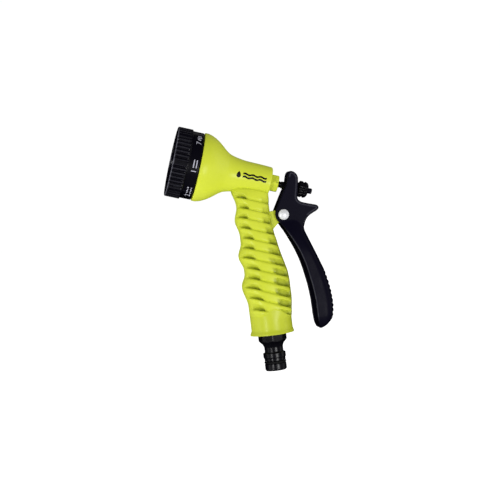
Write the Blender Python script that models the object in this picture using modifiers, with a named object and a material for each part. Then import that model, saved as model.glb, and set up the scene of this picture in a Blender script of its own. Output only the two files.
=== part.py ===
"""Hose spray nozzle: trigger spray gun with a seven-pattern dial.

Frame: metres, +Z up along the grip and the inlet nipple, spray towards -X,
squeeze lever towards +X.  The origin is the centre of the nipple's end face.
The piece is symmetric about the XZ plane, apart from the dial's patterns and
the pivot pin.  "Head frame" below: local Z runs rearwards along the barrel
axis from the plane of the dial's front rim, local X points up from that axis.
"""
import math

import bmesh
import bpy
from mathutils import Matrix, Vector

MM = 0.001
NAME = "hose_spray_nozzle"

# ---------------------------------------------------------------- dimensions
HEAD_TILT = math.radians(19.0)          # barrel axis above the horizontal
HEAD_FRONT = Vector((-62.0, 0.0, 172.8))  # centre of the dial's front rim

DIAL_R = 27.5                           # ribbed grip zone
DIAL_BAND_R = 26.4                      # printed band
DIAL_RIB_LEN = 12.0
DIAL_LEN = 20.6
DIAL_RIBS = 49
PATTERNS = 7
PORT_R = 14.5                           # pitch radius of the outlets

BELL_FRONT = 21.3
BARREL_END = 79.0
CHAMBER_R = 8.0
SOCKET_R = 9.6

STEM_R = 2.5
STEM_END = 110.0
GLAND_HEX_R = 7.3                       # across corners, flats up and down
KNOB_R = 6.4
KNOB_FRONT = 101.3
KNOB_END = 109.6

PIVOT = Vector((19.4, 0.0, 120.8))      # lever pin
PIN_R = 2.0
PIN_HEAD_R = 4.1

GRIP_PITCH = 7.88                       # rib spacing down the grip
GRIP_GROOVES = 12
GRIP_FIRST = 134.4                      # first groove, on the grip's centre line
GRIP_DEPTH = 1.35

FORK_HALF = 9.0                         # lever head half width
SLOT_HALF = 3.0                         # half gap round the stem
LUG_HALF = 5.4                          # half width of the body's pivot lug
ARM_WALL = 2.6

NIPPLE_NECK_R = 7.3
NIPPLE_FLANGE_R = 8.9
NIPPLE_NOSE_R = 8.4
NIPPLE_BORE_R = 5.5

YELLOW = (0.60, 0.73, 0.035)
BLACK = (0.012, 0.012, 0.018)


# ------------------------------------------------------------------- scene
for ob in list(bpy.data.objects):
    bpy.data.objects.remove(ob, do_unlink=True)

parts = bpy.data.collections.new(NAME)
cutters = bpy.data.collections.new(NAME + "_cutters")
bpy.context.scene.collection.children.link(parts)
bpy.context.scene.collection.children.link(cutters)


def material(name, rgb, rough, metal=0.0):
    m = bpy.data.materials.new(name)
    m.use_nodes = True
    p = m.node_tree.nodes["Principled BSDF"]
    p.inputs["Base Color"].default_value = (rgb[0], rgb[1], rgb[2], 1.0)
    p.inputs["Roughness"].default_value = rough
    p.inputs["Metallic"].default_value = metal
    m.diffuse_color = (rgb[0], rgb[1], rgb[2], 1.0)
    return m


def head_matrix():
    c, s = math.cos(HEAD_TILT), math.sin(HEAD_TILT)
    m = Matrix(((s, 0.0, c), (0.0, -1.0, 0.0), (c, 0.0, -s))).to_4x4()
    m.translation = HEAD_FRONT * MM
    return m


HEAD = head_matrix()


def head_point(s, n, y=0.0):
    """A point given along the barrel axis, up from it and towards -Y, in mm."""
    return (HEAD @ Vector((n * MM, y * MM, s * MM))) / MM


def put(ob, coll, mat=None, matrix=None):
    coll.objects.link(ob)
    if mat is not None:
        ob.data.materials.append(mat)
    if matrix is not None:
        ob.matrix_world = matrix
    if coll is cutters:
        ob.hide_render = True
        ob.display_type = "WIRE"
    return ob


def mesh_object(name, bm):
    me = bpy.data.meshes.new(name)
    bmesh.ops.recalc_face_normals(bm, faces=bm.faces)
    bm.to_mesh(me)
    bm.free()
    return bpy.data.objects.new(name, me)


def smooth(ob, angle=32.0):
    ob.data.shade_smooth()
    ob.data.set_sharp_from_angle(angle=math.radians(angle))
    return ob


def turned(name, profile, coll, mat=None, matrix=None, steps=24):
    """Closed profile of (r, z) in mm, outer side top to bottom, turned about Z."""
    me = bpy.data.meshes.new(name)
    verts = [(max(r, 0.0) * MM, 0.0, z * MM) for r, z in profile]
    n = len(verts)
    closed = not (profile[0][0] <= 0.0 and profile[-1][0] <= 0.0)
    edges = [(i, i + 1) for i in range(n - 1)]
    if closed:
        edges.append((n - 1, 0))
    me.from_pydata(verts, edges, [])
    ob = bpy.data.objects.new(name, me)
    put(ob, coll, mat, matrix)
    sc = ob.modifiers.new("turn", "SCREW")
    sc.axis = "Z"
    sc.angle = math.tau
    sc.steps = steps
    sc.render_steps = steps
    sc.use_merge_vertices = True
    sc.merge_threshold = 0.00002
    sc.use_smooth_shade = True
    return ob


def boolean(ob, other, op="DIFFERENCE"):
    b = ob.modifiers.new(op.lower() + "_" + other.name, "BOOLEAN")
    b.operation = op
    b.solver = "EXACT"
    b.object = other
    return b


def box(name, size, centre, coll=cutters, matrix=None, mat=None):
    bm = bmesh.new()
    bmesh.ops.create_cube(bm, size=1.0)
    for v in bm.verts:
        v.co = Vector((v.co.x * size[0] + centre[0], v.co.y * size[1] + centre[1],
                       v.co.z * size[2] + centre[2])) * MM
    return put(mesh_object(name, bm), coll, mat, matrix)


def rod(name, r, z0, z1, coll=cutters, matrix=None, mat=None, at=(0.0, 0.0), segs=20, r1=None):
    """Straight round piece along local Z."""
    bm = bmesh.new()
    bmesh.ops.create_cone(bm, cap_ends=True, segments=segs, radius1=r * MM,
                          radius2=(r if r1 is None else r1) * MM, depth=(z1 - z0) * MM)
    bmesh.ops.translate(bm, verts=bm.verts,
                        vec=Vector((at[0], at[1], (z0 + z1) / 2)) * MM)
    return put(mesh_object(name, bm), coll, mat, matrix)


def ring(name, major, minor, z, mat, matrix=None, segs=18, sides=6, coll=parts):
    """O-ring: a turned circle."""
    prof = []
    for i in range(sides):
        a = math.pi / 2 - math.tau * i / sides
        prof.append((major + minor * math.cos(a), z + minor * math.sin(a)))
    return turned(name, prof, coll, mat, matrix, steps=segs)


def as_mesh(ob, coll, mat=None):
    """Replace a curve object by the mesh it evaluates to, caps welded."""
    bpy.context.view_layer.update()
    dg = bpy.context.evaluated_depsgraph_get()
    me = bpy.data.meshes.new_from_object(ob.evaluated_get(dg))
    bm = bmesh.new()
    bm.from_mesh(me)
    bmesh.ops.remove_doubles(bm, verts=bm.verts, dist=0.000005)
    bmesh.ops.recalc_face_normals(bm, faces=bm.faces)
    bm.to_mesh(me)
    bm.free()
    name = ob.name
    mw = ob.matrix_world.copy()
    ob.name = name + "_curve"
    bpy.data.objects.remove(ob, do_unlink=True)
    me.materials.clear()
    new = bpy.data.objects.new(name, me)
    put(new, coll, mat, mw)
    return new


def outline(name, pts, half, coll, mat=None, matrix=None):
    """Flat outline in XZ (mm), thickened to both sides of the XZ plane."""
    cu = bpy.data.curves.new(name, "CURVE")
    cu.dimensions = "2D"
    cu.fill_mode = "BOTH"
    cu.extrude = half * MM
    cu.render_resolution_u = 0
    sp = cu.splines.new("POLY")
    sp.points.add(len(pts) - 1)
    for p, (x, z) in zip(sp.points, pts):
        p.co = (x * MM, z * MM, 0.0, 1.0)
    sp.use_cyclic_u = True
    ob = bpy.data.objects.new(name, cu)
    coll.objects.link(ob)
    # curve plane XY -> world XZ
    ob.matrix_world = (matrix or Matrix()) @ Matrix.Rotation(math.radians(90.0), 4, "X")
    return as_mesh(ob, coll, mat)


def coil(name, r, wire, z0, z1, turns, mat, matrix=None, at=(0.0, 0.0), per_turn=9):
    """Round-wire compression spring with flat end turns."""
    cu = bpy.data.curves.new(name, "CURVE")
    cu.dimensions = "3D"
    cu.bevel_depth = wire * MM
    cu.bevel_resolution = 1
    cu.use_fill_caps = True
    cu.render_resolution_u = 0
    n = int(turns * per_turn) + 1
    sp = cu.splines.new("POLY")
    sp.points.add(n - 1)
    lo, hi = z0 + wire, z1 - wire
    for i, p in enumerate(sp.points):
        t = i / (n - 1)
        a = math.tau * turns * t
        k = 0.5 - 0.5 * math.cos(math.pi * t)
        z = lo + (hi - lo) * (0.35 * k + 0.65 * t)
        p.co = ((at[0] + r * math.cos(a)) * MM, (at[1] + r * math.sin(a)) * MM, z * MM, 1.0)
    ob = bpy.data.objects.new(name, cu)
    parts.objects.link(ob)
    if matrix is not None:
        ob.matrix_world = matrix
    return smooth(as_mesh(ob, parts, mat), 60)


def blend(stations, z):
    """Smooth value at z from (z, value) stations in falling z."""
    st = stations
    if z >= st[0][0]:
        return st[0][1]
    if z <= st[-1][0]:
        return st[-1][1]
    for i in range(len(st) - 1):
        z1, v1 = st[i]
        z2, v2 = st[i + 1]
        if z <= z1 and z >= z2:
            def slope(j):
                if j <= 0 or j >= len(st) - 1:
                    return 0.0
                a = (st[j][1] - st[j - 1][1]) / (st[j][0] - st[j - 1][0])
                b = (st[j + 1][1] - st[j][1]) / (st[j + 1][0] - st[j][0])
                return 0.0 if a * b <= 0 else 2 * a * b / (a + b)
            h = z2 - z1
            t = (z - z1) / h
            m1, m2 = slope(i) * h, slope(i + 1) * h
            return ((2 * t ** 3 - 3 * t ** 2 + 1) * v1 + (t ** 3 - 2 * t ** 2 + t) * m1
                    + (-2 * t ** 3 + 3 * t ** 2) * v2 + (t ** 3 - t ** 2) * m2)
    return st[-1][1]


def ramp(a, b, x):
    t = min(1.0, max(0.0, (x - a) / (b - a)))
    return t * t * (3 - 2 * t)


# ------------------------------------------------------------------ materials
m_yellow = material("yellow_abs", YELLOW, 0.38)
m_black = material("black_abs", BLACK, 0.36)
m_dial = material("dial_black", (0.014, 0.014, 0.02), 0.42)
m_core = material("core_black", (0.02, 0.02, 0.024), 0.45)
m_rubber = material("rubber_black", (0.015, 0.015, 0.016), 0.7)
m_steel = material("steel", (0.62, 0.63, 0.65), 0.25, 1.0)
m_bright = material("pin_steel", (0.78, 0.79, 0.80), 0.2, 1.0)
m_brass = material("brass", (0.72, 0.53, 0.24), 0.3, 1.0)
m_tube = material("tube_white", (0.7, 0.7, 0.68), 0.45)

# ------------------------------------------------------------------ body shell
# Bell and barrel outside, from the bell's front edge to the rear face.
BELL_OUT = [(26.2, 21.3), (26.95, 21.9), (26.95, 24.2), (26.1, 27.4), (24.7, 30.5), (22.6, 34.0),
            (19.9, 37.5), (17.2, 40.8), (15.4, 43.6), (14.2, 47.0), (13.3, 51.5), (12.6, 57.0),
            (12.4, 64.0), (12.2, 72.0), (11.95, 76.5), (11.6, 78.3), (10.8, 79.0)]


def grip_front(z):
    """Front edge of the grip: three finger swells."""
    x = 15.75
    for zc, h, up, dn in ((120.0, 2.5, 11.0, 12.0), (91.8, 3.1, 11.0, 11.0), (68.0, 3.3, 10.0, 16.0)):
        d = z - zc
        w = up if d > 0 else dn
        if abs(d) < w:
            x += h * math.cos(math.pi * d / (2 * w)) ** 2
    x += 2.4 * ramp(130.0, 143.0, z) ** 1.5
    x += 1.2 * ramp(33.0, 29.5, z)
    return -x


GRIP_REAR = [(160.0, 9.6), (137.0, 9.6), (124.0, 9.6), (110.0, 10.8), (102.0, 12.3), (92.5, 14.2),
             (83.0, 16.6), (76.0, 18.2), (68.0, 18.8), (57.0, 18.8), (50.0, 18.1), (44.0, 17.4),
             (39.0, 16.9), (33.0, 16.9), (30.0, 17.5), (29.0, 17.6)]
GRIP_HALF = [(160.0, 6.4), (147.0, 7.2), (143.5, 9.4), (139.5, 10.8), (128.0, 12.2), (110.0, 13.6), (90.0, 14.8), (70.0, 15.9),
             (52.0, 16.2), (40.0, 16.2), (32.5, 16.4), (29.0, 17.3)]


def grip_point(v, a, ribs=True):
    """Point on the grip: v runs down the centre line, a goes round from +X."""
    w = ramp(39.0, 52.0, v)
    ca, sa = math.cos(a), math.sin(a)
    x, z = 0.0, v
    for _ in range(4):
        xl, xr = grip_front(z), blend(GRIP_REAR, z)
        hy = blend(GRIP_HALF, z)
        xc, ax = (xl + xr) / 2, (xr - xl) / 2
        p = 2.0 + 0.45 * w
        k = (abs(ca) ** p + abs(sa) ** p) ** (-1.0 / p)
        x = xc + ax * ca * k
        s_curve = -0.42 * 11.0 * math.tanh(x / 11.0)
        top = ramp(134.0, 146.0, v)
        z = v + w * (s_curve * (1 - top) - math.tan(HEAD_TILT) * x * top)
    y = hy * sa * k
    if ribs:
        u = (GRIP_FIRST - v) / GRIP_PITCH
        if -0.5 < u < GRIP_GROOVES - 0.5:
            f = u - math.floor(u + 0.5)
            side = ramp(0.22, 0.62, abs(sa))
            d = GRIP_DEPTH * side * math.exp(-(f / 0.2) ** 2)
            n = Vector((ca / ax, sa / hy, 0.0)).normalized()
            x -= n.x * d
            y -= n.y * d
    return x, y, z


def grip_rows(per_pitch):
    rows = [29.0, 30.2, 32.6, 35.0, 39.0, 43.5]
    v0 = GRIP_FIRST - (GRIP_GROOVES - 0.5) * GRIP_PITCH
    n = int(GRIP_GROOVES * per_pitch)
    rows += [v0 + GRIP_PITCH * i / per_pitch for i in range(n + 1) if v0 + GRIP_PITCH * i / per_pitch > 45.0]
    rows += [140.6, 142.4, 144.2, 146.5, 150.0]
    return rows


def grip_loft(name, rows, around):
    bm = bmesh.new()
    loops = []
    for v in rows:
        loops.append([bm.verts.new(Vector(grip_point(v, math.tau * (j + 0.5) / around)) * MM)
                      for j in range(around)])
    for a, b in zip(loops, loops[1:]):
        for j in range(around):
            k = (j + 1) % around
            bm.faces.new((a[j], a[k], b[k], b[j]))
    bm.faces.new(list(reversed(loops[0])))
    bm.faces.new(loops[-1])
    return mesh_object(name, bm)


body = put(grip_loft("body_shell", grip_rows(4), 24), parts, m_yellow)

barrel = turned("barrel_outer", [(0.0, BARREL_END)] + [(r, s) for r, s in reversed(BELL_OUT)] + [(0.0, BELL_FRONT)],
                cutters, None, HEAD, steps=28)
boolean(body, barrel, "UNION")

LUG = []
for i in range(10):
    a = math.radians(62.0 - 20.0 * i)
    LUG.append((PIVOT.x + 6.5 * math.cos(a), PIVOT.z + 6.5 * math.sin(a)))
LUG = [(0.0, 125.0), (9.0, 124.4), (15.5, 124.6)] + [p for p in LUG if p[0] > 13.8] + [(10.0, 110.0), (0.0, 108.0)]
lug = outline("lever_lug", LUG, LUG_HALF, cutters)
boolean(body, lug, "UNION")

hollow = turned("head_hollow",
                [(0.0, 84.0), (5.2, 84.0), (5.2, 72.0), (CHAMBER_R, 72.0), (CHAMBER_R, 46.0), (SOCKET_R, 46.0),
                 (SOCKET_R, 36.4), (17.0, 36.4), (19.4, 34.0), (22.0, 30.0), (23.9, 26.0), (24.0, 18.0), (0.0, 18.0)],
                cutters, None, HEAD, steps=20)
boolean(body, hollow)

bore = turned("grip_bore", [(0.0, 148.0), (4.2, 148.0), (4.2, 136.0), (6.5, 136.0), (6.5, 44.0),
                            (9.4, 44.0), (9.4, 20.0), (0.0, 20.0)], cutters, None, None, steps=16)
boolean(body, bore)
pin_hole = rod("pin_hole", 2.3, -20.0, 20.0, cutters,
               Matrix.Translation(PIVOT * MM) @ Matrix.Rotation(math.radians(90.0), 4, "X"), segs=16)
boolean(body, pin_hole)
smooth(body, 40)

# ------------------------------------------------------------------ the dial
dial_axis = bpy.data.objects.new("dial_axis", None)
parts.objects.link(dial_axis)
dial_axis.empty_display_size = 0.01
dial_axis.matrix_world = HEAD


def child(ob, parent):
    mw = ob.matrix_world.copy()
    ob.parent = parent
    ob.matrix_parent_inverse = parent.matrix_world.inverted()
    ob.matrix_world = mw
    return ob


bpy.context.view_layer.update()
dial = turned("dial_ring",
              [(24.3, DIAL_LEN), (DIAL_BAND_R, DIAL_LEN), (DIAL_BAND_R, DIAL_RIB_LEN),
               (DIAL_R, DIAL_RIB_LEN - 0.4), (DIAL_R, 0.7), (DIAL_R - 0.7, 0.0), (25.6, 0.0), (24.8, 0.8),
               (24.6, 7.4), (21.5, 7.4), (21.5, 9.2), (24.3, 9.2)],
              parts, m_dial, HEAD, steps=DIAL_RIBS)
bm = bmesh.new()
for i in range(DIAL_RIBS):
    a = math.tau * (i + 0.5) / DIAL_RIBS
    geo = bmesh.ops.create_cube(bm, size=1.0)
    for v in geo["verts"]:
        v.co = Vector((v.co.x * 1.6 + DIAL_R + 0.05, v.co.y * 1.1, v.co.z * 9.2 + 6.1))
        v.co = Matrix.Rotation(a, 3, "Z") @ v.co * MM
dial_grooves = put(mesh_object("dial_grooves", bm), cutters, None, HEAD)
boolean(dial, dial_grooves)
child(dial, dial_axis)

face = turned("spray_face",
              [(24.2, 7.1), (24.2, 3.4), (12.0, 3.2), (7.2, 3.2), (6.5, -0.2), (5.6, -0.9), (3.7, -0.9),
               (3.7, 3.0), (1.8, 3.0), (1.8, 7.1)],
              parts, m_dial, HEAD, steps=28)
# outlets: jet, shower, mist, cone, flat, centre, soaker
bm = bmesh.new()


def drill(x, y, r, z0=1.0, z1=9.0, segs=8, r2=None):
    geo = bmesh.ops.create_cone(bm, cap_ends=True, segments=segs, radius1=r * MM,
                                radius2=(r if r2 is None else r2) * MM, depth=(z1 - z0) * MM)
    bmesh.ops.translate(bm, verts=geo["verts"], vec=Vector((x, y, (z0 + z1) / 2)) * MM)


def slot(x, y, w, h, turn, z0=1.0, z1=9.0):
    geo = bmesh.ops.create_cube(bm, size=1.0)
    for v in geo["verts"]:
        v.co = Vector((v.co.x * w, v.co.y * h, v.co.z * (z1 - z0) + (z0 + z1) / 2))
        v.co = Matrix.Rotation(turn, 3, "Z") @ v.co
        v.co = (v.co + Vector((x, y, 0.0))) * MM


for k in range(PATTERNS):
    a = math.tau * k / PATTERNS
    cx, cy = PORT_R * math.cos(a), PORT_R * math.sin(a)
    if k == 0:
        drill(cx, cy, 1.6, segs=10)
    elif k == 1:
        for i in range(6):
            b = math.tau * i / 6
            drill(cx + 2.6 * math.cos(b), cy + 2.6 * math.sin(b), 0.55, segs=6)
    elif k == 2:
        drill(cx, cy, 0.8, segs=8)
    elif k == 3:
        for i in range(3):
            b = math.tau * i / 3 + a
            drill(cx + 1.8 * math.cos(b), cy + 1.8 * math.sin(b), 0.9, segs=6)
    elif k == 4:
        slot(cx, cy, 1.1, 5.4, a)
    elif k == 5:
        slot(cx, cy, 1.2, 4.2, a + math.pi / 2)
    else:
        for i in range(4):
            b = math.tau * i / 4
            drill(cx + 2.2 * math.cos(b), cy + 2.2 * math.sin(b), 0.9, segs=6)
for k in range(PATTERNS):
    a = math.pi + math.tau * k / PATTERNS
    drill(17.6 * math.cos(a), 17.6 * math.sin(a), 0.4, 6.4, 7.4, segs=8, r2=1.3)   # click dimples, behind
outlets = put(mesh_object("outlets", bm), cutters, None, HEAD)
boolean(face, outlets)
child(face, dial_axis)

screw = turned("face_screw", [(0.0, 20.0), (1.4, 20.0), (1.4, 2.3), (3.1, 2.3), (3.1, 1.2), (2.2, 0.7), (0.0, 0.6)],
               parts, m_steel, HEAD, steps=14)
washer = turned("face_washer", [(3.4, 2.8), (3.4, 2.5), (1.7, 2.5), (1.7, 2.8)], parts, m_steel, HEAD, steps=14)

# --------------------------------------------------------------- distributor
core = turned("distributor",
              [(0.0, 41.0), (SOCKET_R - 0.3, 41.0), (SOCKET_R - 0.3, 39.4), (8.0, 39.4), (8.0, 37.6),
               (SOCKET_R - 0.3, 37.6), (SOCKET_R - 0.3, 10.8), (18.8, 10.8), (18.8, 25.0), (22.9, 25.0),
               (23.6, 24.4), (23.6, 21.9), (20.8, 21.6), (20.8, 8.0), (0.0, 8.0)],
              parts, m_core, HEAD, steps=28)
port_boss = rod("port_boss", 5.6, 10.0, 27.0, cutters, HEAD, at=(PORT_R, 0.0), segs=20)
boolean(core, port_boss, "UNION")
port_web = box("port_web", (PORT_R, 8.4, 8.0), (PORT_R / 2, 0.0, 23.0), cutters, HEAD)
boolean(core, port_web, "UNION")
detent_boss = rod("detent_boss", 3.4, 9.0, 17.5, cutters, HEAD, at=(-17.6, 0.0), segs=16)
boolean(core, detent_boss, "UNION")
waterway = rod("waterway", 6.0, 21.8, 45.0, cutters, HEAD, segs=20)
boolean(core, waterway)
cross = box("cross_channel", (PORT_R + 2.0, 5.0, 3.2), (PORT_R / 2 + 1.0, 0.0, 23.6), cutters, HEAD)
boolean(core, cross)
port_bore = turned("port_bore", [(0.0, 23.0), (2.5, 23.0), (2.5, 20.4), (4.3, 20.4), (4.3, 6.0), (0.0, 6.0)],
                   cutters, None, HEAD @ Matrix.Translation(Vector((PORT_R, 0.0, 0.0)) * MM), steps=16)
boolean(core, port_bore)
detent_bore = rod("detent_bore", 1.95, 6.0, 16.0, cutters, HEAD, at=(-17.6, 0.0), segs=14)
boolean(core, detent_bore)
screw_hole = rod("screw_hole", 1.7, 6.0, 20.6, cutters, HEAD, segs=12)
boolean(core, screw_hole)

PORT = HEAD @ Matrix.Translation(Vector((PORT_R, 0.0, 0.0)) * MM)
turned("port_seal", [(3.0, 15.0), (3.9, 15.0), (3.9, 8.4), (3.4, 7.4), (2.3, 7.4), (2.3, 13.2), (3.0, 13.8)],
       parts, m_rubber, PORT, steps=16)
coil("port_spring", 3.3, 0.35, 15.2, 20.1, 4.0, m_steel, PORT, per_turn=8)
turned("distributor_oring", [(8.83 + 0.68 * math.cos(math.pi / 2 - math.tau * i / 6),
                              38.5 + 0.68 * math.sin(math.pi / 2 - math.tau * i / 6)) for i in range(6)],
       parts, m_rubber, HEAD, steps=20)

bm = bmesh.new()
bmesh.ops.create_uvsphere(bm, u_segments=12, v_segments=8, radius=1.6 * MM)
bmesh.ops.translate(bm, verts=bm.verts, vec=Vector((-17.6, 0.0, 9.0)) * MM)
ball = put(mesh_object("detent_ball", bm), parts, m_steel, HEAD)
smooth(ball, 60)
coil("detent_spring", 1.3, 0.25, 10.9, 15.7, 4.0, m_steel, HEAD, at=(-17.6, 0.0), per_turn=8)

# ---------------------------------------------------------------- the valve
turned("valve_seat", [(5.3, 46.6), (5.9, 45.9), (9.3, 45.7), (9.3, 41.4), (4.4, 41.4), (4.4, 46.6)],
       parts, m_brass, HEAD, steps=20)

stem_axis = bpy.data.objects.new("stem_axis", None)
parts.objects.link(stem_axis)
stem_axis.empty_display_size = 0.01
stem_axis.matrix_world = HEAD @ Matrix.Translation(Vector((0.0, 0.0, KNOB_FRONT)) * MM)
bpy.context.view_layer.update()

stem = turned("valve_stem",
              [(0.0, STEM_END), (1.6, STEM_END), (1.6, 101.0), (STEM_R, 100.6), (STEM_R, 51.2), (6.2, 51.0),
               (6.2, 49.3), (1.7, 49.2), (1.7, 46.6), (3.0, 46.5), (3.0, 45.4), (2.4, 44.9), (0.0, 44.9)],
              parts, m_black, HEAD, steps=18)
child(stem, stem_axis)
vw = turned("valve_washer", [(6.4, 48.9), (6.4, 46.9), (2.0, 46.9), (2.0, 48.9)], parts, m_rubber, HEAD, steps=18)
child(vw, stem_axis)
coil("return_spring", 4.3, 0.5, 51.5, 70.9, 6.5, m_steel, HEAD, per_turn=9)
turned("spring_washer", [(7.6, 71.8), (7.6, 71.1), (2.9, 71.1), (2.9, 71.8)], parts, m_brass, HEAD, steps=18)

gland = turned("gland_nut", [(2.9, 85.4), (6.2, 85.4), (GLAND_HEX_R - 0.2, 84.6), (GLAND_HEX_R - 0.2, 79.4),
                             (4.9, 79.4), (4.9, 73.2), (4.1, 73.2), (4.1, 76.6), (2.9, 76.6)],
               parts, m_yellow, HEAD, steps=24)
hexa = rod("gland_hex", GLAND_HEX_R, 70.0, 90.0, cutters, HEAD, segs=6)
boolean(gland, hexa, "INTERSECT")
ring("gland_oring", 3.28, 0.62, 74.9, m_rubber, HEAD, segs=16)

knob = turned("adjuster_knob", [(1.9, KNOB_END), (4.4, KNOB_END), (5.7, KNOB_END - 0.9), (KNOB_R, 107.0), (5.3, 106.4),
                                (5.3, 104.9), (KNOB_R, 104.3), (KNOB_R, 102.6), (4.6, KNOB_FRONT), (1.9, KNOB_FRONT)],
              parts, m_black, HEAD, steps=24)
bm = bmesh.new()
for i in range(12):
    a = math.tau * (i + 0.5) / 12
    geo = bmesh.ops.create_cone(bm, cap_ends=True, segments=6, radius1=0.55 * MM, radius2=0.55 * MM, depth=12 * MM)
    bmesh.ops.translate(bm, verts=geo["verts"], vec=Vector(((KNOB_R + 0.1) * math.cos(a),
                                                            (KNOB_R + 0.1) * math.sin(a), 105.5)) * MM)
flutes = put(mesh_object("knob_flutes", bm), cutters, None, HEAD)
boolean(knob, flutes)
child(knob, stem_axis)
tip = turned("stem_end_nut", [(0.0, 113.0), (1.8, 113.0), (2.2, 112.5), (2.2, KNOB_END + 0.3), (1.8, KNOB_END + 0.3),
                              (1.8, 110.4), (0.0, 110.4)], parts, m_black, HEAD, steps=16)
child(tip, stem_axis)

# ---------------------------------------------------------------- the lever
lever_axis = bpy.data.objects.new("lever_axis", None)
parts.objects.link(lever_axis)
lever_axis.empty_display_size = 0.01
lever_axis.matrix_world = Matrix.Translation(PIVOT * MM)
bpy.context.view_layer.update()

ARM_FRONT = [(121.0, 14.0), (116.0, 15.6), (112.0, 17.6), (108.0, 20.0), (100.0, 24.1), (90.0, 28.4), (80.0, 31.4),
             (70.0, 33.4), (60.0, 35.0), (48.0, 35.9), (38.0, 36.0), (32.0, 36.3), (28.9, 37.0)]
ARM_REAR = [(121.0, 33.4), (115.5, 34.6), (110.0, 35.2), (107.0, 35.3), (104.5, 36.0), (100.0, 37.6), (96.0, 39.0), (87.0, 42.3), (79.0, 45.1),
            (72.0, 47.5), (64.5, 49.2), (57.0, 50.4), (48.0, 51.0), (41.0, 50.4), (36.0, 49.0), (32.5, 46.0),
            (30.0, 43.0), (28.9, 40.2)]
ARM_WIDTH = [(121.0, 9.0), (115.8, 9.0), (112.5, 10.1), (109.0, 11.2), (105.0, 12.4), (100.0, 13.6), (95.0, 14.4),
             (90.0, 14.9), (85.0, 15.0), (60.0, 15.0), (40.0, 14.6),
             (33.0, 13.0), (28.9, 9.0)]


def arm_section(z, inner=0.0):
    """Points round one level of the arm: flat front, full rounded back."""
    xf, xr = blend(ARM_FRONT, z), blend(ARM_REAR, z) - inner
    hw = blend(ARM_WIDTH, z) - inner
    pts = []
    depth = xr - xf
    back = min(depth * 0.62, hw)
    pts.append((xf if inner == 0 else xf - 6.0, -hw))
    for i in range(9):
        a = -math.pi / 2 + math.pi * i / 8
        ca, sa = max(0.0, math.cos(a)), math.sin(a)
        p = 2.6
        k = (abs(ca) ** p + abs(sa) ** p) ** (-1 / p)
        pts.append((xr - back + back * ca * k, hw * sa * k))
    pts.append((xf if inner == 0 else xf - 6.0, hw))
    return pts


def arm_loft(name, levels, inner=0.0, coll=cutters):
    bm = bmesh.new()
    loops = [[bm.verts.new(Vector((x, y, z)) * MM) for x, y in arm_section(z, inner)] for z in levels]
    n = len(loops[0])
    for a, b in zip(loops, loops[1:]):
        for j in range(n):
            k = (j + 1) % n
            bm.faces.new((a[j], a[k], b[k], b[j]))
    bm.faces.new(list(reversed(loops[0])))
    bm.faces.new(loops[-1])
    return put(mesh_object(name, bm), coll)


HEAD_PLATE = [(26.0, 149.8), (27.0, 152.6), (28.9, 154.2), (31.7, 152.9), (33.6, 150.7), (34.3, 148.2), (33.9, 144.4),
              (32.8, 138.0), (31.8, 133.4), (32.2, 130.9), (34.6, 128.9), (40.4, 127.0), (46.0, 125.4),
              (47.6, 123.9), (47.5, 122.2), (45.4, 120.6), (42.8, 119.5), (39.8, 118.0), (37.1, 115.6), (35.4, 112.6), (34.2, 108.5),
              (24.0, 108.0), (17.6, 112.4), (14.9, 115.6), (13.4, 118.4), (12.9, 121.4), (13.3, 124.2), (16.0, 129.2),
              (20.5, 137.4), (24.6, 144.2)]
lever = outline("trigger_lever", HEAD_PLATE, FORK_HALF, parts, m_black)
arm_levels = [28.9, 30.0, 32.0, 35.0, 41.0, 50.0, 60.0, 70.0, 80.0, 85.0, 90.0, 95.0, 100.0, 105.0, 109.0, 112.5, 115.8, 117.5]
arm = arm_loft("lever_arm", arm_levels)
boolean(lever, arm, "UNION")
channel = arm_loft("lever_channel", [31.6, 35.0, 41.0, 50.0, 60.0, 70.0, 80.0, 90.0, 95.0, 100.0, 105.0, 109.0, 111.3], ARM_WALL)
boolean(lever, channel)
# slot for the body's lug, open to the front, and for the stem, right through
lug_slot = outline("lug_slot", [(5.0, 132.0), (20.0, 132.5), (29.0, 129.0), (29.0, 104.0), (5.0, 100.0)],
                   LUG_HALF + 0.35, cutters)
boolean(lever, lug_slot)
stem_slot = box("stem_slot", (7.9, 2 * SLOT_HALF, 30.0), (0.95, 0.0, 95.0), cutters, HEAD)
boolean(lever, stem_slot)
front_slot = outline("front_slot", [(5.0, 131.0), (21.0, 131.5), (27.4, 137.5), (28.5, 147.0), (20.0, 150.0), (8.0, 136.0)],
                     SLOT_HALF, cutters)
boolean(lever, front_slot)
pin_bore = rod("pin_bore", 2.3, -20.0, 20.0, cutters,
               Matrix.Translation(PIVOT * MM) @ Matrix.Rotation(math.radians(90.0), 4, "X"), segs=16)
boolean(lever, pin_bore)
smooth(lever, 35)
child(lever, lever_axis)

# local Z of the pin runs towards -Y
PIN = Matrix.Translation(PIVOT * MM) @ Matrix.Rotation(math.radians(90.0), 4, "X")
turned("pivot_pin", [(0.0, 11.1), (1.8, 10.9), (3.3, 10.3), (PIN_HEAD_R, 9.6), (PIN_HEAD_R, 9.3), (PIN_R, 9.3),
                     (PIN_R, -10.9), (0.0, -10.9)], parts, m_bright, PIN, steps=20)
turned("pivot_clip", [(4.2, -9.4), (4.2, -10.2), (2.3, -10.2), (2.3, -9.4)], parts, m_steel, PIN, steps=18)

# ------------------------------------------------------------- water inlet
turned("flow_tube", [(4.0, 135.6), (4.95, 135.6), (4.95, 132.4), (6.2, 132.4), (6.2, 43.7), (4.5, 43.7), (4.5, 131.0), (4.0, 131.6)],
       parts, m_tube, None, steps=18)
ring("flow_tube_oring", 5.72, 0.64, 134.2, m_rubber, None, segs=18)
turned("inlet_gasket", [(9.0, 43.4), (9.0, 41.5), (4.6, 41.5), (4.6, 43.4)], parts, m_rubber, None, steps=20)

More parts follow.
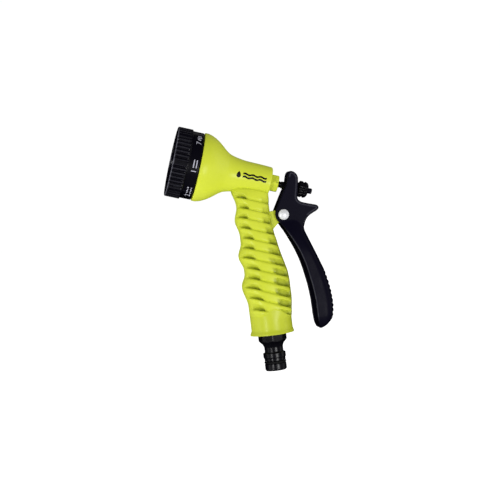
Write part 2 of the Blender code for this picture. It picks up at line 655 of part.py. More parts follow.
nipple = turned("inlet_nipple",
                [(NIPPLE_BORE_R, 41.2), (9.0, 41.2), (9.0, 28.7), (11.6, 28.7), (11.6, 24.2), (10.4, 23.0), (8.4, 21.0),
                 (NIPPLE_NECK_R, 18.6), (NIPPLE_NECK_R, 14.6), (NIPPLE_FLANGE_R, 13.9), (NIPPLE_FLANGE_R, 10.4),
                 (NIPPLE_NOSE_R, 9.8), (NIPPLE_NOSE_R, 7.8), (7.2, 7.8), (7.2, 5.4), (8.5, 5.4), (8.5, 1.0),
                 (7.8, 0.0), (NIPPLE_BORE_R, 0.0)],
                parts, m_black, None, steps=24)
hex2 = rod("nipple_hex", 11.2, -5.0, 50.0, cutters, None, segs=8)
boolean(nipple, hex2, "INTERSECT")
ring("nipple_oring", 8.0, 0.75, 6.6, m_rubber, None, segs=20)

bpy.context.view_layer.update()
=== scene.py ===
"""Looks of the hose spray nozzle: fine meshes, materials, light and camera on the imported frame."""
import math

import bmesh
import bpy
import numpy as np
from mathutils.kdtree import KDTree
from mathutils import Matrix, Vector


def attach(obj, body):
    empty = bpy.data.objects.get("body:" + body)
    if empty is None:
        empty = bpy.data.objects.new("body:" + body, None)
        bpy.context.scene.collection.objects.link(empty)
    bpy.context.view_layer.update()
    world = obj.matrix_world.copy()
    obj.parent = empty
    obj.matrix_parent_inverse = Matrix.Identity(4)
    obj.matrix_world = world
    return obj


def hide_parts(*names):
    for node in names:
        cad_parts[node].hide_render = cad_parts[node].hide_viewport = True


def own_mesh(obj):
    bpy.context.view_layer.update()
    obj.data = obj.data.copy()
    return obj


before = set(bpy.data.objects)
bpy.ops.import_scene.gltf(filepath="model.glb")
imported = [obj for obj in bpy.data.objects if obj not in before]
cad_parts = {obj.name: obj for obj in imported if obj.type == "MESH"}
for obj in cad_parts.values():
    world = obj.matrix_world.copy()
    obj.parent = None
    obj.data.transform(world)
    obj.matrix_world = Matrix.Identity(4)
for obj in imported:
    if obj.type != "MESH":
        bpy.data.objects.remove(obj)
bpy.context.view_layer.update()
MM = 0.001
SKY_LOW, SKY_HIGH, SKY_FRONT = 0.98, 0.52, 0.42

# ------------------------------------------------------------ frame of the part
TILT = math.radians(19.0)
CT, ST = math.cos(TILT), math.sin(TILT)
FRONT = np.array([-62.0, 0.0, 172.8])
PIVOT = np.array([19.4, 0.0, 120.8])
HEAD_R = np.array([[ST, 0.0, CT], [0.0, -1.0, 0.0], [CT, 0.0, -ST]])   # columns: up, -Y, rearwards


def to_head(p):
    """Head frame (up, towards -Y, rearwards) mm -> part frame mm."""
    return np.asarray(p, float) @ HEAD_R.T + FRONT


def head_polar(p):
    """Part frame mm -> (s, r, theta) about the head's axis."""
    q = (np.asarray(p, float) - FRONT) @ HEAD_R
    return q[:, 2], np.hypot(q[:, 0], q[:, 1]), np.arctan2(q[:, 1], q[:, 0]) % math.tau


def to_pin(p):
    """Pin frame: local Z towards -Y."""
    p = np.asarray(p, float)
    return np.stack([p[..., 0], -p[..., 2], p[..., 1]], -1) + PIVOT


def plain(p):
    return np.asarray(p, float)


def ramp(a, b, x):
    t = np.clip((np.asarray(x, float) - a) / (b - a), 0.0, 1.0)
    return t * t * (3 - 2 * t)


def bump(c, w, x):
    """Smooth bump of height 1, half width w, about c."""
    t = np.clip(1.0 - ((np.asarray(x, float) - c) / w) ** 2, 0.0, 1.0)
    return t * t


def curve(stations, z):
    """Monotone cubic through (z, value) stations given in any order."""
    st = np.array(sorted(stations), float)
    x, y = st[:, 0], st[:, 1]
    h = np.diff(x)
    d = np.diff(y) / h
    m = np.zeros(len(x))
    for i in range(1, len(x) - 1):
        if d[i - 1] * d[i] > 0:
            m[i] = 2 * d[i - 1] * d[i] / (d[i - 1] + d[i])
    z = np.clip(np.asarray(z, float), x[0], x[-1])
    i = np.clip(np.searchsorted(x, z, side="right") - 1, 0, len(x) - 2)
    t = (z - x[i]) / h[i]
    return ((2 * t ** 3 - 3 * t ** 2 + 1) * y[i] + (t ** 3 - 2 * t ** 2 + t) * m[i] * h[i]
            + (-2 * t ** 3 + 3 * t ** 2) * y[i + 1] + (t ** 3 - t ** 2) * m[i + 1] * h[i])


# ------------------------------------------------------------ mesh helpers
COLL = bpy.context.scene.collection


def mesh_from(name, verts, faces):
    me = bpy.data.meshes.new(name)
    v = np.asarray(verts, float) * MM
    me.vertices.add(len(v))
    me.vertices.foreach_set("co", v.ravel())
    loops = np.concatenate([np.asarray(f, np.int32) for f in faces]) if not isinstance(faces, np.ndarray) else faces.ravel().astype(np.int32)
    if isinstance(faces, np.ndarray):
        n = np.full(len(faces), faces.shape[1], np.int32)
    else:
        n = np.array([len(f) for f in faces], np.int32)
    me.loops.add(len(loops))
    me.loops.foreach_set("vertex_index", loops)
    me.polygons.add(len(n))
    me.polygons.foreach_set("loop_start", np.concatenate([[0], np.cumsum(n)[:-1]]).astype(np.int32))
    me.update(calc_edges=True)
    me.validate()
    return me


def new_object(name, me, fix=True):
    ob = bpy.data.objects.new(name, me)
    COLL.objects.link(ob)
    if fix:
        bm = bmesh.new()
        bm.from_mesh(me)
        bmesh.ops.remove_doubles(bm, verts=bm.verts, dist=1e-7)
        bmesh.ops.recalc_face_normals(bm, faces=bm.faces)
        bm.to_mesh(me)
        bm.free()
    return ob


def shade(ob, angle=30.0):
    ob.data.shade_smooth()
    ob.data.set_sharp_from_angle(angle=math.radians(angle))
    return ob


def rounded(pts, radii, segs=4, closed=True):
    """Outline with its corners rounded: radii is one number or one per corner."""
    n = len(pts)
    pts = [np.array(p, float) for p in pts]
    if not hasattr(radii, "__len__"):
        radii = [radii] * n
    out = []
    for i in range(n):
        p = pts[i]
        if (not closed and i in (0, n - 1)) or radii[i] <= 0:
            out.append(p)
            continue
        a, b = pts[i - 1], pts[(i + 1) % n]
        da, db = a - p, b - p
        la, lb = np.linalg.norm(da), np.linalg.norm(db)
        if la < 1e-9 or lb < 1e-9:
            out.append(p)
            continue
        da, db = da / la, db / lb
        cosv = float(np.clip(np.dot(da, db), -1, 1))
        half = math.acos(cosv) / 2
        if half > math.radians(86) or half < 1e-3:
            out.append(p)
            continue
        t = min(radii[i] / math.tan(half), 0.48 * la, 0.48 * lb)
        r = t * math.tan(half)
        bis = (da + db) / np.linalg.norm(da + db)
        c = p + bis * (r / math.sin(half))
        s, e = p + da * t - c, p + db * t - c
        a0, a1 = math.atan2(s[1], s[0]), math.atan2(e[1], e[0])
        d = (a1 - a0 + math.pi) % math.tau - math.pi
        for k in range(segs + 1):
            w = a0 + d * k / segs
            out.append(c + r * np.array([math.cos(w), math.sin(w)]))
    return np.array(out)


def densify(prof, step, closed=True):
    """Adds points so that no profile segment is longer than step."""
    out = []
    n = len(prof)
    for i in range(n if closed else n - 1):
        a, b = prof[i], prof[(i + 1) % n]
        k = max(1, int(math.ceil(np.linalg.norm(b - a) / step)))
        for j in range(k):
            out.append(a + (b - a) * j / k)
    if not closed:
        out.append(prof[-1])
    return np.array(out)


def turned(prof, steps, place=plain, fn=None, closed=True, seg=None):
    """Grid of a profile (r, z) turned about Z; fn(theta, r, z) may change r.  Returns verts, faces."""
    prof = np.asarray(prof, float)
    if seg:
        prof = densify(prof, seg, closed)
    th = np.arange(steps) * math.tau / steps
    r = np.repeat(prof[:, 0][:, None], steps, 1)
    z = np.repeat(prof[:, 1][:, None], steps, 1)
    t = np.repeat(th[None, :], len(prof), 0)
    if fn is not None:
        r = fn(t, r, z)
    p = np.stack([r * np.cos(t), r * np.sin(t), z], -1)
    v = place(p.reshape(-1, 3))
    n = len(prof)
    i = np.arange(n if closed else n - 1)[:, None]
    j = np.arange(steps)[None, :]
    a = i * steps + j
    b = ((i + 1) % n) * steps + j
    c = ((i + 1) % n) * steps + (j + 1) % steps
    d = i * steps + (j + 1) % steps
    faces = np.stack([a, d, c, b], -1).reshape(-1, 4)
    return v, faces


def turned_object(name, prof, steps, place=plain, fn=None, closed=True, seg=None):
    v, f = turned(prof, steps, place, fn, closed, seg)
    return new_object(name, mesh_from(name, v, f))


def evaluated(ob, name=None):
    """Applies the modifiers and keeps the object."""
    bpy.context.view_layer.update()
    dg = bpy.context.evaluated_depsgraph_get()
    me = bpy.data.meshes.new_from_object(ob.evaluated_get(dg), depsgraph=dg)
    old = ob.data
    ob.modifiers.clear()
    ob.data = me
    bpy.data.meshes.remove(old)
    return ob


def boolean(ob, others):
    """others: list of (object, operation); all are used up."""
    for o, op in others:
        m = ob.modifiers.new(o.name, "BOOLEAN")
        m.operation, m.solver, m.object = op, "EXACT", o
    evaluated(ob)
    for o, _ in others:
        bpy.data.objects.remove(o, do_unlink=True)
    return ob


def box_object(name, lo, hi, place=plain):
    v = np.array([[x, y, z] for x in (lo[0], hi[0]) for y in (lo[1], hi[1]) for z in (lo[2], hi[2])], float)
    f = np.array([[0, 1, 3, 2], [4, 6, 7, 5], [0, 4, 5, 1], [2, 3, 7, 6], [0, 2, 6, 4], [1, 5, 7, 3]])
    return new_object(name, mesh_from(name, place(v), f))


def plate_object(name, pts, half, swap=None):
    """Outline in XZ made into a plate, half thick to each side of Y = 0."""
    pts = np.asarray(pts, float)
    n = len(pts)
    v = np.concatenate([np.stack([pts[:, 0], np.full(n, -half), pts[:, 1]], -1),
                        np.stack([pts[:, 0], np.full(n, half), pts[:, 1]], -1)])
    faces = [list(range(n)), list(range(2 * n - 1, n - 1, -1))]
    faces += [[i, i + n, (i + 1) % n + n, (i + 1) % n] for i in range(n)]
    return new_object(name, mesh_from(name, v, faces))


# ------------------------------------------------------------ materials
def node(nt, kind, loc=(0, 0), **values):
    n = nt.nodes.new(kind)
    n.location = loc
    for k, v in values.items():
        if k.startswith("in_"):
            n.inputs[k[3:].replace("_", " ")].default_value = v
        else:
            setattr(n, k, v)
    return n


def base_material(name):
    m = bpy.data.materials.new(name)
    m.use_nodes = True
    nt = m.node_tree
    p = nt.nodes["Principled BSDF"]
    tc = node(nt, "ShaderNodeTexCoord", (-1200, 0))
    return m, nt, p, tc.outputs["Object"]


def noise(nt, co, scale, detail=2.0, rough=0.5):
    n = node(nt, "ShaderNodeTexNoise", (-900, 0))
    n.inputs["Scale"].default_value = scale
    n.inputs["Detail"].default_value = detail
    n.inputs["Roughness"].default_value = rough
    nt.links.new(co, n.inputs["Vector"])
    return n.outputs["Fac"]


def ramp_node(nt, fac, a, b, lo=0.3, hi=0.7):
    r = node(nt, "ShaderNodeMapRange", (-600, 0))
    r.inputs["From Min"].default_value = lo
    r.inputs["From Max"].default_value = hi
    r.inputs["To Min"].default_value = a
    r.inputs["To Max"].default_value = b
    nt.links.new(fac, r.inputs["Value"])
    return r.outputs["Result"]


def mix_rgb(nt, fac, a, b):
    m = node(nt, "ShaderNodeMix", (-300, 0), data_type="RGBA")
    if isinstance(a, tuple):
        m.inputs["A"].default_value = a
    else:
        nt.links.new(a, m.inputs["A"])
    if isinstance(b, tuple):
        m.inputs["B"].default_value = b
    else:
        nt.links.new(b, m.inputs["B"])
    nt.links.new(fac, m.inputs["Factor"])
    return m.outputs["Result"]


def add_bump(nt, p, heights):
    """heights: list of (socket, strength, distance in m), chained."""
    last = None
    for h, strength, dist in heights:
        b = node(nt, "ShaderNodeBump", (-200, -300))
        b.inputs["Strength"].default_value = strength
        b.inputs["Distance"].default_value = dist
        nt.links.new(h, b.inputs["Height"])
        if last is not None:
            nt.links.new(last, b.inputs["Normal"])
        last = b.outputs["Normal"]
    nt.links.new(last, p.inputs["Normal"])


def moulded(name, rgb, rgb2, rough, spread=0.06, grain=1400.0, grain_h=0.00003, grain_s=0.25,
            edge=None, coat=0.0, sss=0.0, spec=0.5, painted_shade_and_tint=None, highlight_tint=None):
    """Moulded plastic: slight cloudiness in colour, flow in the gloss, fine mould texture, painted highlights on convex
    edges.
    """
    m, nt, p, co = base_material(name)
    cloud = noise(nt, co, 38.0, 3.0)
    col = mix_rgb(nt, ramp_node(nt, cloud, 0.0, 1.0, 0.35, 0.65), (*rgb, 1.0), (*rgb2, 1.0))
    # painted highlights: convex edges, found by pointiness, paled in patches
    if edge:
        geo = node(nt, "ShaderNodeNewGeometry", (-1200, -400))
        painted_highlight = ramp_node(nt, geo.outputs["Pointiness"], 0.0, 1.0, 0.53, 0.62)
        patch = ramp_node(nt, noise(nt, co, 260.0, 4.0, 0.6), 0.0, 1.0, 0.45, 0.68)
        mul = node(nt, "ShaderNodeMath", (-500, -400), operation="MULTIPLY")
        nt.links.new(painted_highlight, mul.inputs[0])
        nt.links.new(patch, mul.inputs[1])
        amount = node(nt, "ShaderNodeMath", (-400, -400), operation="MULTIPLY")
        nt.links.new(mul.outputs[0], amount.inputs[0])
        amount.inputs[1].default_value = edge[3]
        col = mix_rgb(nt, amount.outputs[0], col, (edge[0], edge[1], edge[2], 1.0))
    # painted shade and tint read from a mesh attribute, mixed towards a dark colour
    if painted_shade_and_tint:
        at = node(nt, "ShaderNodeAttribute", (-900, 300), attribute_name="painted_shade_and_tint")
        mottle = ramp_node(nt, noise(nt, co, 420.0, 3.0), 0.90, 1.10)
        shade_amount = node(nt, "ShaderNodeMath", (-400, 300), operation="MULTIPLY", use_clamp=True)
        nt.links.new(at.outputs["Fac"], shade_amount.inputs[0])
        nt.links.new(mottle, shade_amount.inputs[1])
        col = mix_rgb(nt, shade_amount.outputs[0], col, (*painted_shade_and_tint, 1.0))
    # painted highlights read from a mesh attribute, mixed towards a pale colour in patches
    if highlight_tint:
        at = node(nt, "ShaderNodeAttribute", (-900, 500), attribute_name="painted_highlight")
        highlight_patch = ramp_node(nt, noise(nt, co, 520.0, 3.0, 0.6), 0.70, 1.25)
        pale = node(nt, "ShaderNodeMath", (-400, 500), operation="MULTIPLY", use_clamp=True)
        nt.links.new(at.outputs["Fac"], pale.inputs[0])
        nt.links.new(highlight_patch, pale.inputs[1])
        col = mix_rgb(nt, pale.outputs[0], col, (*highlight_tint, 1.0))
    nt.links.new(col, p.inputs["Base Color"])
    flow = noise(nt, co, 120.0, 4.0, 0.55)
    nt.links.new(ramp_node(nt, flow, rough - spread, rough + spread), p.inputs["Roughness"])
    add_bump(nt, p, [(noise(nt, co, grain, 2.0), grain_s, grain_h), (noise(nt, co, 90.0, 2.0), 0.12, 0.0002)])
    p.inputs["Specular IOR Level"].default_value = spec
    if coat:
        p.inputs["Coat Weight"].default_value = coat
        p.inputs["Coat Roughness"].default_value = 0.12
    if sss:
        p.inputs["Subsurface Weight"].default_value = sss
        p.inputs["Subsurface Radius"].default_value = (0.6, 0.8, 0.1)
        p.inputs["Subsurface Scale"].default_value = 0.0012
    return m


def metal(name, rgb, rough, brushed=0.0, scale=900.0, axis=(1, 1, 1)):
    m, nt, p, co = base_material(name)
    mp = node(nt, "ShaderNodeMapping", (-1050, 0))
    mp.inputs["Scale"].default_value = axis
    nt.links.new(co, mp.inputs["Vector"])
    streak = noise(nt, mp.outputs["Vector"], scale, 3.0, 0.6)
    nt.links.new(mix_rgb(nt, ramp_node(nt, noise(nt, co, 300.0, 2.0), 0.0, 1.0), (*rgb, 1.0),
                         (rgb[0] * 0.86, rgb[1] * 0.87, rgb[2] * 0.88, 1.0)), p.inputs["Base Color"])
    nt.links.new(ramp_node(nt, streak, max(0.05, rough - 0.06), rough + 0.1), p.inputs["Roughness"])
    add_bump(nt, p, [(streak, 0.15 + brushed, 0.00002)])
    p.inputs["Metallic"].default_value = 1.0
    return m


M_YELLOW = moulded("yellow_abs_fine", (0.640, 0.720, 0.040), (0.675, 0.750, 0.048), 0.33, 0.05, 1500.0, 0.00002, 0.15,
                   spec=0.26)
# grip skin: its dark mix colour is painted shade in the pockets and grooves, and a darker tint on the collar
M_BODY = moulded("yellow_shell_fine", (0.640, 0.720, 0.040), (0.675, 0.750, 0.048), 0.33, 0.05, 1500.0, 0.00002, 0.15,
                 spec=0.26, painted_shade_and_tint=(0.052, 0.082, 0.0005))
M_BLACK = moulded("black_lever_fine", (0.0034, 0.0030, 0.0092), (0.0045, 0.0040, 0.0112), 0.37, 0.06, 1700.0, 0.00003, 0.3,
                  edge=(0.05, 0.05, 0.065, 0.30), spec=0.055, highlight_tint=(0.120, 0.120, 0.150))
M_DIAL = moulded("black_dial_fine", (0.0024, 0.0020, 0.0050), (0.0036, 0.0032, 0.0070), 0.27, 0.05, 1500.0, 0.00003, 0.3,
                 edge=(0.07, 0.07, 0.09, 0.4), spec=0.34, highlight_tint=(0.150, 0.150, 0.185))
M_NIPPLE = moulded("black_nipple_fine", (0.0030, 0.0028, 0.0050), (0.0045, 0.0042, 0.0066), 0.28, 0.06, 1500.0, 0.00002, 0.25,
                   edge=(0.06, 0.06, 0.08, 0.3), spec=0.26)
M_CORE = moulded("black_core_fine", (0.012, 0.012, 0.013), (0.018, 0.018, 0.019), 0.45)
M_TUBE = moulded("natural_tube_fine", (0.62, 0.62, 0.59), (0.68, 0.68, 0.65), 0.45, sss=0.2)
M_RUBBER = moulded("nitrile_rubber", (0.0045, 0.0045, 0.0055), (0.0075, 0.0075, 0.0080), 0.55, 0.1, 900.0, 0.00006, 0.5, spec=0.2)
M_PRINT = moulded("pale_print", (0.42, 0.42, 0.50), (0.50, 0.50, 0.58), 0.5, 0.06, 2200.0, 0.00002, 0.4)
M_MARK = moulded("black_print", (0.004, 0.004, 0.004), (0.007, 0.007, 0.007), 0.45, 0.05, 2200.0, 0.00001, 0.3, spec=0.15)
M_STEEL = metal("turned_steel", (0.60, 0.61, 0.63), 0.26, 0.1)
M_PIN = metal("polished_pin", (0.93, 0.93, 0.95), 0.36, 0.05, 500.0)
M_PIN.node_tree.nodes["Principled BSDF"].inputs["Metallic"].default_value = 0.22
M_BRASS = metal("turned_brass", (0.70, 0.50, 0.22), 0.28, 0.1)


def dress(ob, mat, body, replaces=()):
    ob.data.materials.clear()
    ob.data.materials.append(mat)
    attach(ob, body)
    if replaces:
        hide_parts(*replaces)
    return ob


# ------------------------------------------------------------ body shell
BELL = [(21.3, 26.2), (21.9, 26.95), (24.2, 26.95), (27.4, 26.1), (30.5, 24.7), (34.0, 22.6), (37.5, 19.9),
        (40.8, 17.2), (43.6, 15.4), (47.0, 14.2), (51.5, 13.3), (57.0, 12.6), (64.0, 12.4), (72.0, 12.2),
        (76.5, 11.95)]


def bell_r(s):
    """Outer radius of bell and barrel at s, smooth through the stations."""
    st = np.array(BELL[2:], float)
    s = np.asarray(s, float)
    x, y = st[:, 0], st[:, 1]
    m = np.gradient(y, x)
    i = np.clip(np.searchsorted(x, s, side="right") - 1, 0, len(x) - 2)
    h = x[i + 1] - x[i]
    t = np.clip((s - x[i]) / h, 0, 1)
    return ((2 * t ** 3 - 3 * t ** 2 + 1) * y[i] + (t ** 3 - 2 * t ** 2 + t) * m[i] * h
            + (-2 * t ** 3 + 3 * t ** 2) * y[i + 1] + (t ** 3 - t ** 2) * m[i + 1] * h)


GRIP_REAR = [(160.0, 9.6), (137.0, 9.6), (124.0, 9.6), (110.0, 10.8), (102.0, 12.3), (92.5, 14.2),
             (83.0, 16.6), (76.0, 18.2), (68.0, 18.8), (57.0, 18.8), (50.0, 18.1), (44.0, 17.4),
             (39.0, 16.9), (33.0, 16.9), (30.0, 17.5), (29.0, 17.6)]
GRIP_HALF = [(160.0, 6.4), (147.0, 7.2), (143.5, 9.4), (139.5, 10.8), (128.0, 12.2), (110.0, 13.6), (90.0, 14.8), (70.0, 15.9),
             (52.0, 16.2), (40.0, 16.2), (32.5, 16.4), (29.0, 17.3)]
PITCH, GROOVES, FIRST = 7.88, 12, 134.4


def grip_front(z):
    z = np.asarray(z, float)
    x = np.full(z.shape, 15.75)
    for zc, h, up, dn in ((120.0, 2.5, 11.0, 12.0), (91.8, 3.1, 11.0, 11.0), (68.0, 3.3, 10.0, 16.0)):
        d = z - zc
        w = np.where(d > 0, up, dn)
        x = x + np.where(np.abs(d) < w, h * np.cos(np.pi * np.clip(d / (2 * w), -0.5, 0.5)) ** 2, 0.0)
    x = x + 2.4 * ramp(130.0, 143.0, z) ** 1.5 + 1.2 * ramp(33.0, 29.5, z)
    return -x


def grip_slant(x, low):
    """How far a rib has dropped by x: gentle towards the fingers, steeper behind, most near the bottom."""
    soft = 1.5 * np.log1p(np.exp(np.clip((x + 12.0) / 1.5, -30, 30)))
    return 0.22 * (x + 12.0) + 0.13 * soft - 3.5 + 0.7 * low * ramp(-12.0, 12.0, x)


def grip_surface(v, a):
    """Grip skin: v runs down the centre line, a goes round from +X.  Also gives how much painted shade, and the
    collar's darker tint, each point gets.
    """
    w = ramp(39.0, 52.0, v)
    ca, sa = np.cos(a), np.sin(a)
    x, z = np.zeros_like(v), v.copy()
    p = 2.0 + 0.45 * w + 1.3 * ramp(132.0, 141.0, v)
    k = (np.abs(ca) ** p + np.abs(sa) ** p) ** (-1.0 / p)
    low = ramp(82.0, 56.0, v)
    for _ in range(6):
        xl, xr, hy = grip_front(z), curve(GRIP_REAR, z), curve(GRIP_HALF, z)
        xc, ax = (xl + xr) / 2, (xr - xl) / 2
        x = xc + ax * ca * k
        z = v - w * grip_slant(x, low)
    y = hy * sa * k
    deg = np.degrees(a) % 360.0
    deg = np.where(deg < 180.0, 360.0 - deg, deg)            # both sides alike, counted on -Y
    arch = 44.2 + 6.9 * ramp(1.0, 0.12, np.abs(deg - 287.0) / 50.0)
    ribbed = ramp(-0.9, 0.5, v - arch) * ramp(143.4, 142.2, v)
    u = (FIRST - v) / PITCH
    kk = np.clip(np.round(u), 0, GROOVES - 1)
    f = u - kk
    side = ramp(0.22, 0.62, np.abs(sa))
    within = ramp(GROOVES - 0.35, GROOVES - 0.5, u)
    crown = 0.62 * (1.0 - np.exp(-(np.abs(f) / 0.14) ** 1.8))
    line = 0.55 * np.exp(-(f / 0.07) ** 2)
    row = np.clip(np.floor(u + 0.94), 0, GROOVES - 1)
    g = u - row                                               # -0.94 .. 0.06, 0 on the groove under the rib
    edge = ramp(0.055, 0.0, g)
    lower = ramp(5.5, 7.5, row)
    left_f = ramp(-0.52, -0.06, g) * edge
    start = 299.0 - 9.0 * ramp(5.0, 7.5, row)
    right = ramp(0.0, 5.0, deg - start) * ramp(323.0, 318.5, deg)
    deep_f = ramp(-0.62, -0.53, g) * edge
    wedge_f = ramp(-0.48, -0.06, g) * edge
    right_f = wedge_f * (1 - lower) + deep_f * lower
    left = ramp(206.0, 232.0, deg) * ramp(252.0, 243.0, deg)
    r_amp = (0.35 + 0.65 * ramp(0.5, 3.5, row)) * (2.0 - 0.2 * lower)
    pocket = 2.4 * left * left_f + r_amp * right * right_f
    d = side * within * (line + pocket - crown) * ribbed
    nx, ny = ca / ax, sa / hy
    nl = np.hypot(nx, ny)
    # painted shade: darker towards the foot of the pockets and along the groove lines
    foot = ramp(0.11, 0.03, g)
    win = ramp(205.0, 219.0, deg) * ramp(262.0, 246.0, deg)
    spot = np.exp(-((deg - 238.0) / 9.0) ** 2)
    shade_l = win * (0.16 * ramp(-0.62, -0.40, g) + 0.42 * ramp(-0.26, -0.03, g)) * foot \
        + spot * (0.14 * ramp(-0.56, -0.36, g) + 0.12 * ramp(-0.30, -0.05, g)) * foot
    strong = 0.45 + 0.55 * ramp(0.0, 3.0, row)
    begin = 296.0 - 11.0 * ramp(3.5, 6.5, row)
    win = ramp(-5.0, 4.0, deg - begin) * ramp(335.0, 327.0, deg)
    spot = np.exp(-((deg - 321.0) / 6.0) ** 2)
    shade_w = strong * (win * (0.42 * ramp(-0.60, -0.38, g) + 0.28 * ramp(-0.28, -0.04, g))
                        + spot * 0.26 * ramp(-0.40, -0.14, g)) * foot
    foot = ramp(0.06, -0.05, g)
    win = ramp(280.0, 287.0, deg) * ramp(335.0, 328.0, deg)
    spot = np.exp(-((deg - 321.0) / 5.0) ** 2) + 0.5 * np.exp(-((deg - 288.0) / 4.0) ** 2)
    shade_d = (win * (0.46 * ramp(-0.66, -0.44, g) + 0.36 * ramp(-0.32, -0.12, g))
               + spot * 0.24 * ramp(-0.56, -0.30, g)) * foot
    shade_r = shade_w * (1 - lower) + shade_d * lower
    shade_m = 0.13 * np.exp(-((f - 0.03) / 0.085) ** 2) + 0.06 * ramp(-0.30, -0.02, g) * foot
    # painted shadow under the ribs' lower edge along the top of the collar
    step = 0.10 * np.exp(-((v - arch - 0.3) / 0.9) ** 2) * np.where(v > 40.0, 1.0, 0.0)
    dark = np.clip(within * ribbed * np.maximum(0.76 * np.maximum(shade_l, shade_r), shade_m * side), 0, 1)
    plain_part = 0.19 * ramp(0.5, -0.9, v - arch) * (0.8 + 0.4 * ramp(36.0, 30.0, v))      # the collar is a little duller
    return np.stack([x - nx / nl * d, y - ny / nl * d, z], -1), np.maximum(np.maximum(dark, step * side), plain_part)


def grip_mesh(per_pitch, around):
    rows = list(np.linspace(29.0, 33.0, 12)) + list(np.linspace(33.4, 44.0, 14))
    v0 = FIRST - (GROOVES - 0.4) * PITCH
    v1 = FIRST + 0.6 * PITCH
    v0 = max(v0, 44.3)
    rows += list(np.linspace(v0, v1, int((v1 - v0) / PITCH * per_pitch) + 1))
    rows += list(np.linspace(v1 + 0.4, 150.2, 34))
    rows = np.array(sorted(set(np.round(rows, 4))))
    th = (np.arange(around) + 0.5) * math.tau / around
    V, A = np.meshgrid(rows, th, indexing="ij")
    p, dark = grip_surface(V, A)
    n, m = p.shape[:2]
    i, j = np.arange(n - 1)[:, None], np.arange(m)[None, :]
    faces = np.stack([i * m + j, i * m + (j + 1) % m, (i + 1) * m + (j + 1) % m, (i + 1) * m + j], -1).reshape(-1, 4)
    verts = p.reshape(-1, 3)
    faces = [list(f) for f in faces] + [list(range(m))[::-1], [(n - 1) * m + q for q in range(m)]]
    return verts, faces, dark.ravel()


v, f, shade_and_tint_values = grip_mesh(28, 200)
body = new_object("body_skin", mesh_from("body_skin", v, f))

s = np.concatenate([np.linspace(24.2, 50.0, 46), np.linspace(51.0, 76.3, 20)])
outer = [(r, q) for q, r in zip(s, bell_r(s))]
rear = rounded([(11.95, 76.4), (11.85, 79.0), (0.0, 79.0)], [0, 1.5, 0], 8, closed=False)[1:]
front = rounded([(0.0, 21.3), (26.95, 21.3), (26.95, 24.0)], [0, 0.7, 0], 5, closed=False)[:-1]
prof = np.array(list(front) + outer + list(rear))[::-1]
barrel = turned_object("barrel", prof, 192, to_head, closed=False)

LUG = [(PIVOT[0] + 6.5 * math.cos(math.radians(q)), PIVOT[2] + 6.5 * math.sin(math.radians(q)))
       for q in np.linspace(70, -125, 28)]
lug = plate_object("lug", [(0.0, 125.0), (9.0, 124.4), (15.5, 124.7)] + [q for q in LUG if q[0] > 13.4] + [(10.0, 110.0), (0.0, 108.0)], 5.4)
hollow = turned_object("hollow", np.array([(0.0, 84.0), (5.2, 84.0), (5.2, 72.0), (8.0, 72.0), (8.0, 46.0), (9.6, 46.0),
                                           (9.6, 36.4), (17.0, 36.4), (19.4, 34.0), (22.0, 30.0), (23.9, 26.0),
                                           (24.0, 18.0), (0.0, 18.0)]), 64, to_head, closed=False)
bore = turned_object("bore", np.array([(0.0, 148.0), (4.2, 148.0), (4.2, 136.0), (6.5, 136.0), (6.5, 44.0), (9.4, 44.0),
                                       (9.4, 20.0), (0.0, 20.0)]), 48, plain, closed=False)
hole = turned_object("hole", np.array([(0.0, 20.0), (2.3, 20.0), (2.3, -20.0), (0.0, -20.0)]), 32, to_pin, closed=False)
boolean(body, [(barrel, "UNION"), (lug, "UNION"), (hollow, "DIFFERENCE"), (bore, "DIFFERENCE"), (hole, "DIFFERENCE")])
shade(body, 34)
tree = KDTree(len(v))
for i, q in enumerate(v):
    tree.insert(Vector((float(q[0]) * MM, float(q[1]) * MM, float(q[2]) * MM)), i)
tree.balance()
# painted shade and collar tint carried from the grip samples onto the finished skin
painted_shade_and_tint = np.zeros(len(body.data.vertices), dtype=np.float32)
for i, vt in enumerate(body.data.vertices):
    _, j, gap = tree.find(vt.co)
    if gap < 0.0003:
        painted_shade_and_tint[i] = shade_and_tint_values[j]
body.data.attributes.new("painted_shade_and_tint", "FLOAT", "POINT").data.foreach_set("value", painted_shade_and_tint)
dress(body, M_BODY, "body", ("body_shell",))


# ------------------------------------------------------------ generic marks
def wrap_flat(name, polys, place, lift):
    """Flat polygons (lists of 2D points, mm) laid on a surface by place(u, v, lift)."""
    bm = bmesh.new()
    for poly in polys:
        vs = [bm.verts.new((float(a) * MM, float(b) * MM, 0.0)) for a, b in poly]
        bm.faces.new(vs)
    bmesh.ops.triangulate(bm, faces=bm.faces[:])
    for _ in range(3):
        long = [e for e in bm.edges if e.calc_length() > 0.9 * MM]
        if not long:
            break
        bmesh.ops.subdivide_edges(bm, edges=long, cuts=1)
        bmesh.ops.triangulate(bm, faces=bm.faces[:])
    me = bpy.data.meshes.new(name)
    bm.to_mesh(me)
    bm.free()
    co = np.zeros(len(me.vertices) * 3)
    me.vertices.foreach_get("co", co)
    co = co.reshape(-1, 3) / MM
    out = place(co[:, 0], co[:, 1], lift) * MM
    me.vertices.foreach_set("co", out.ravel())
    me.update()
    ob = bpy.data.objects.new(name, me)
    COLL.objects.link(ob)
    for pl in me.polygons:
        pl.use_smooth = True
    return ob


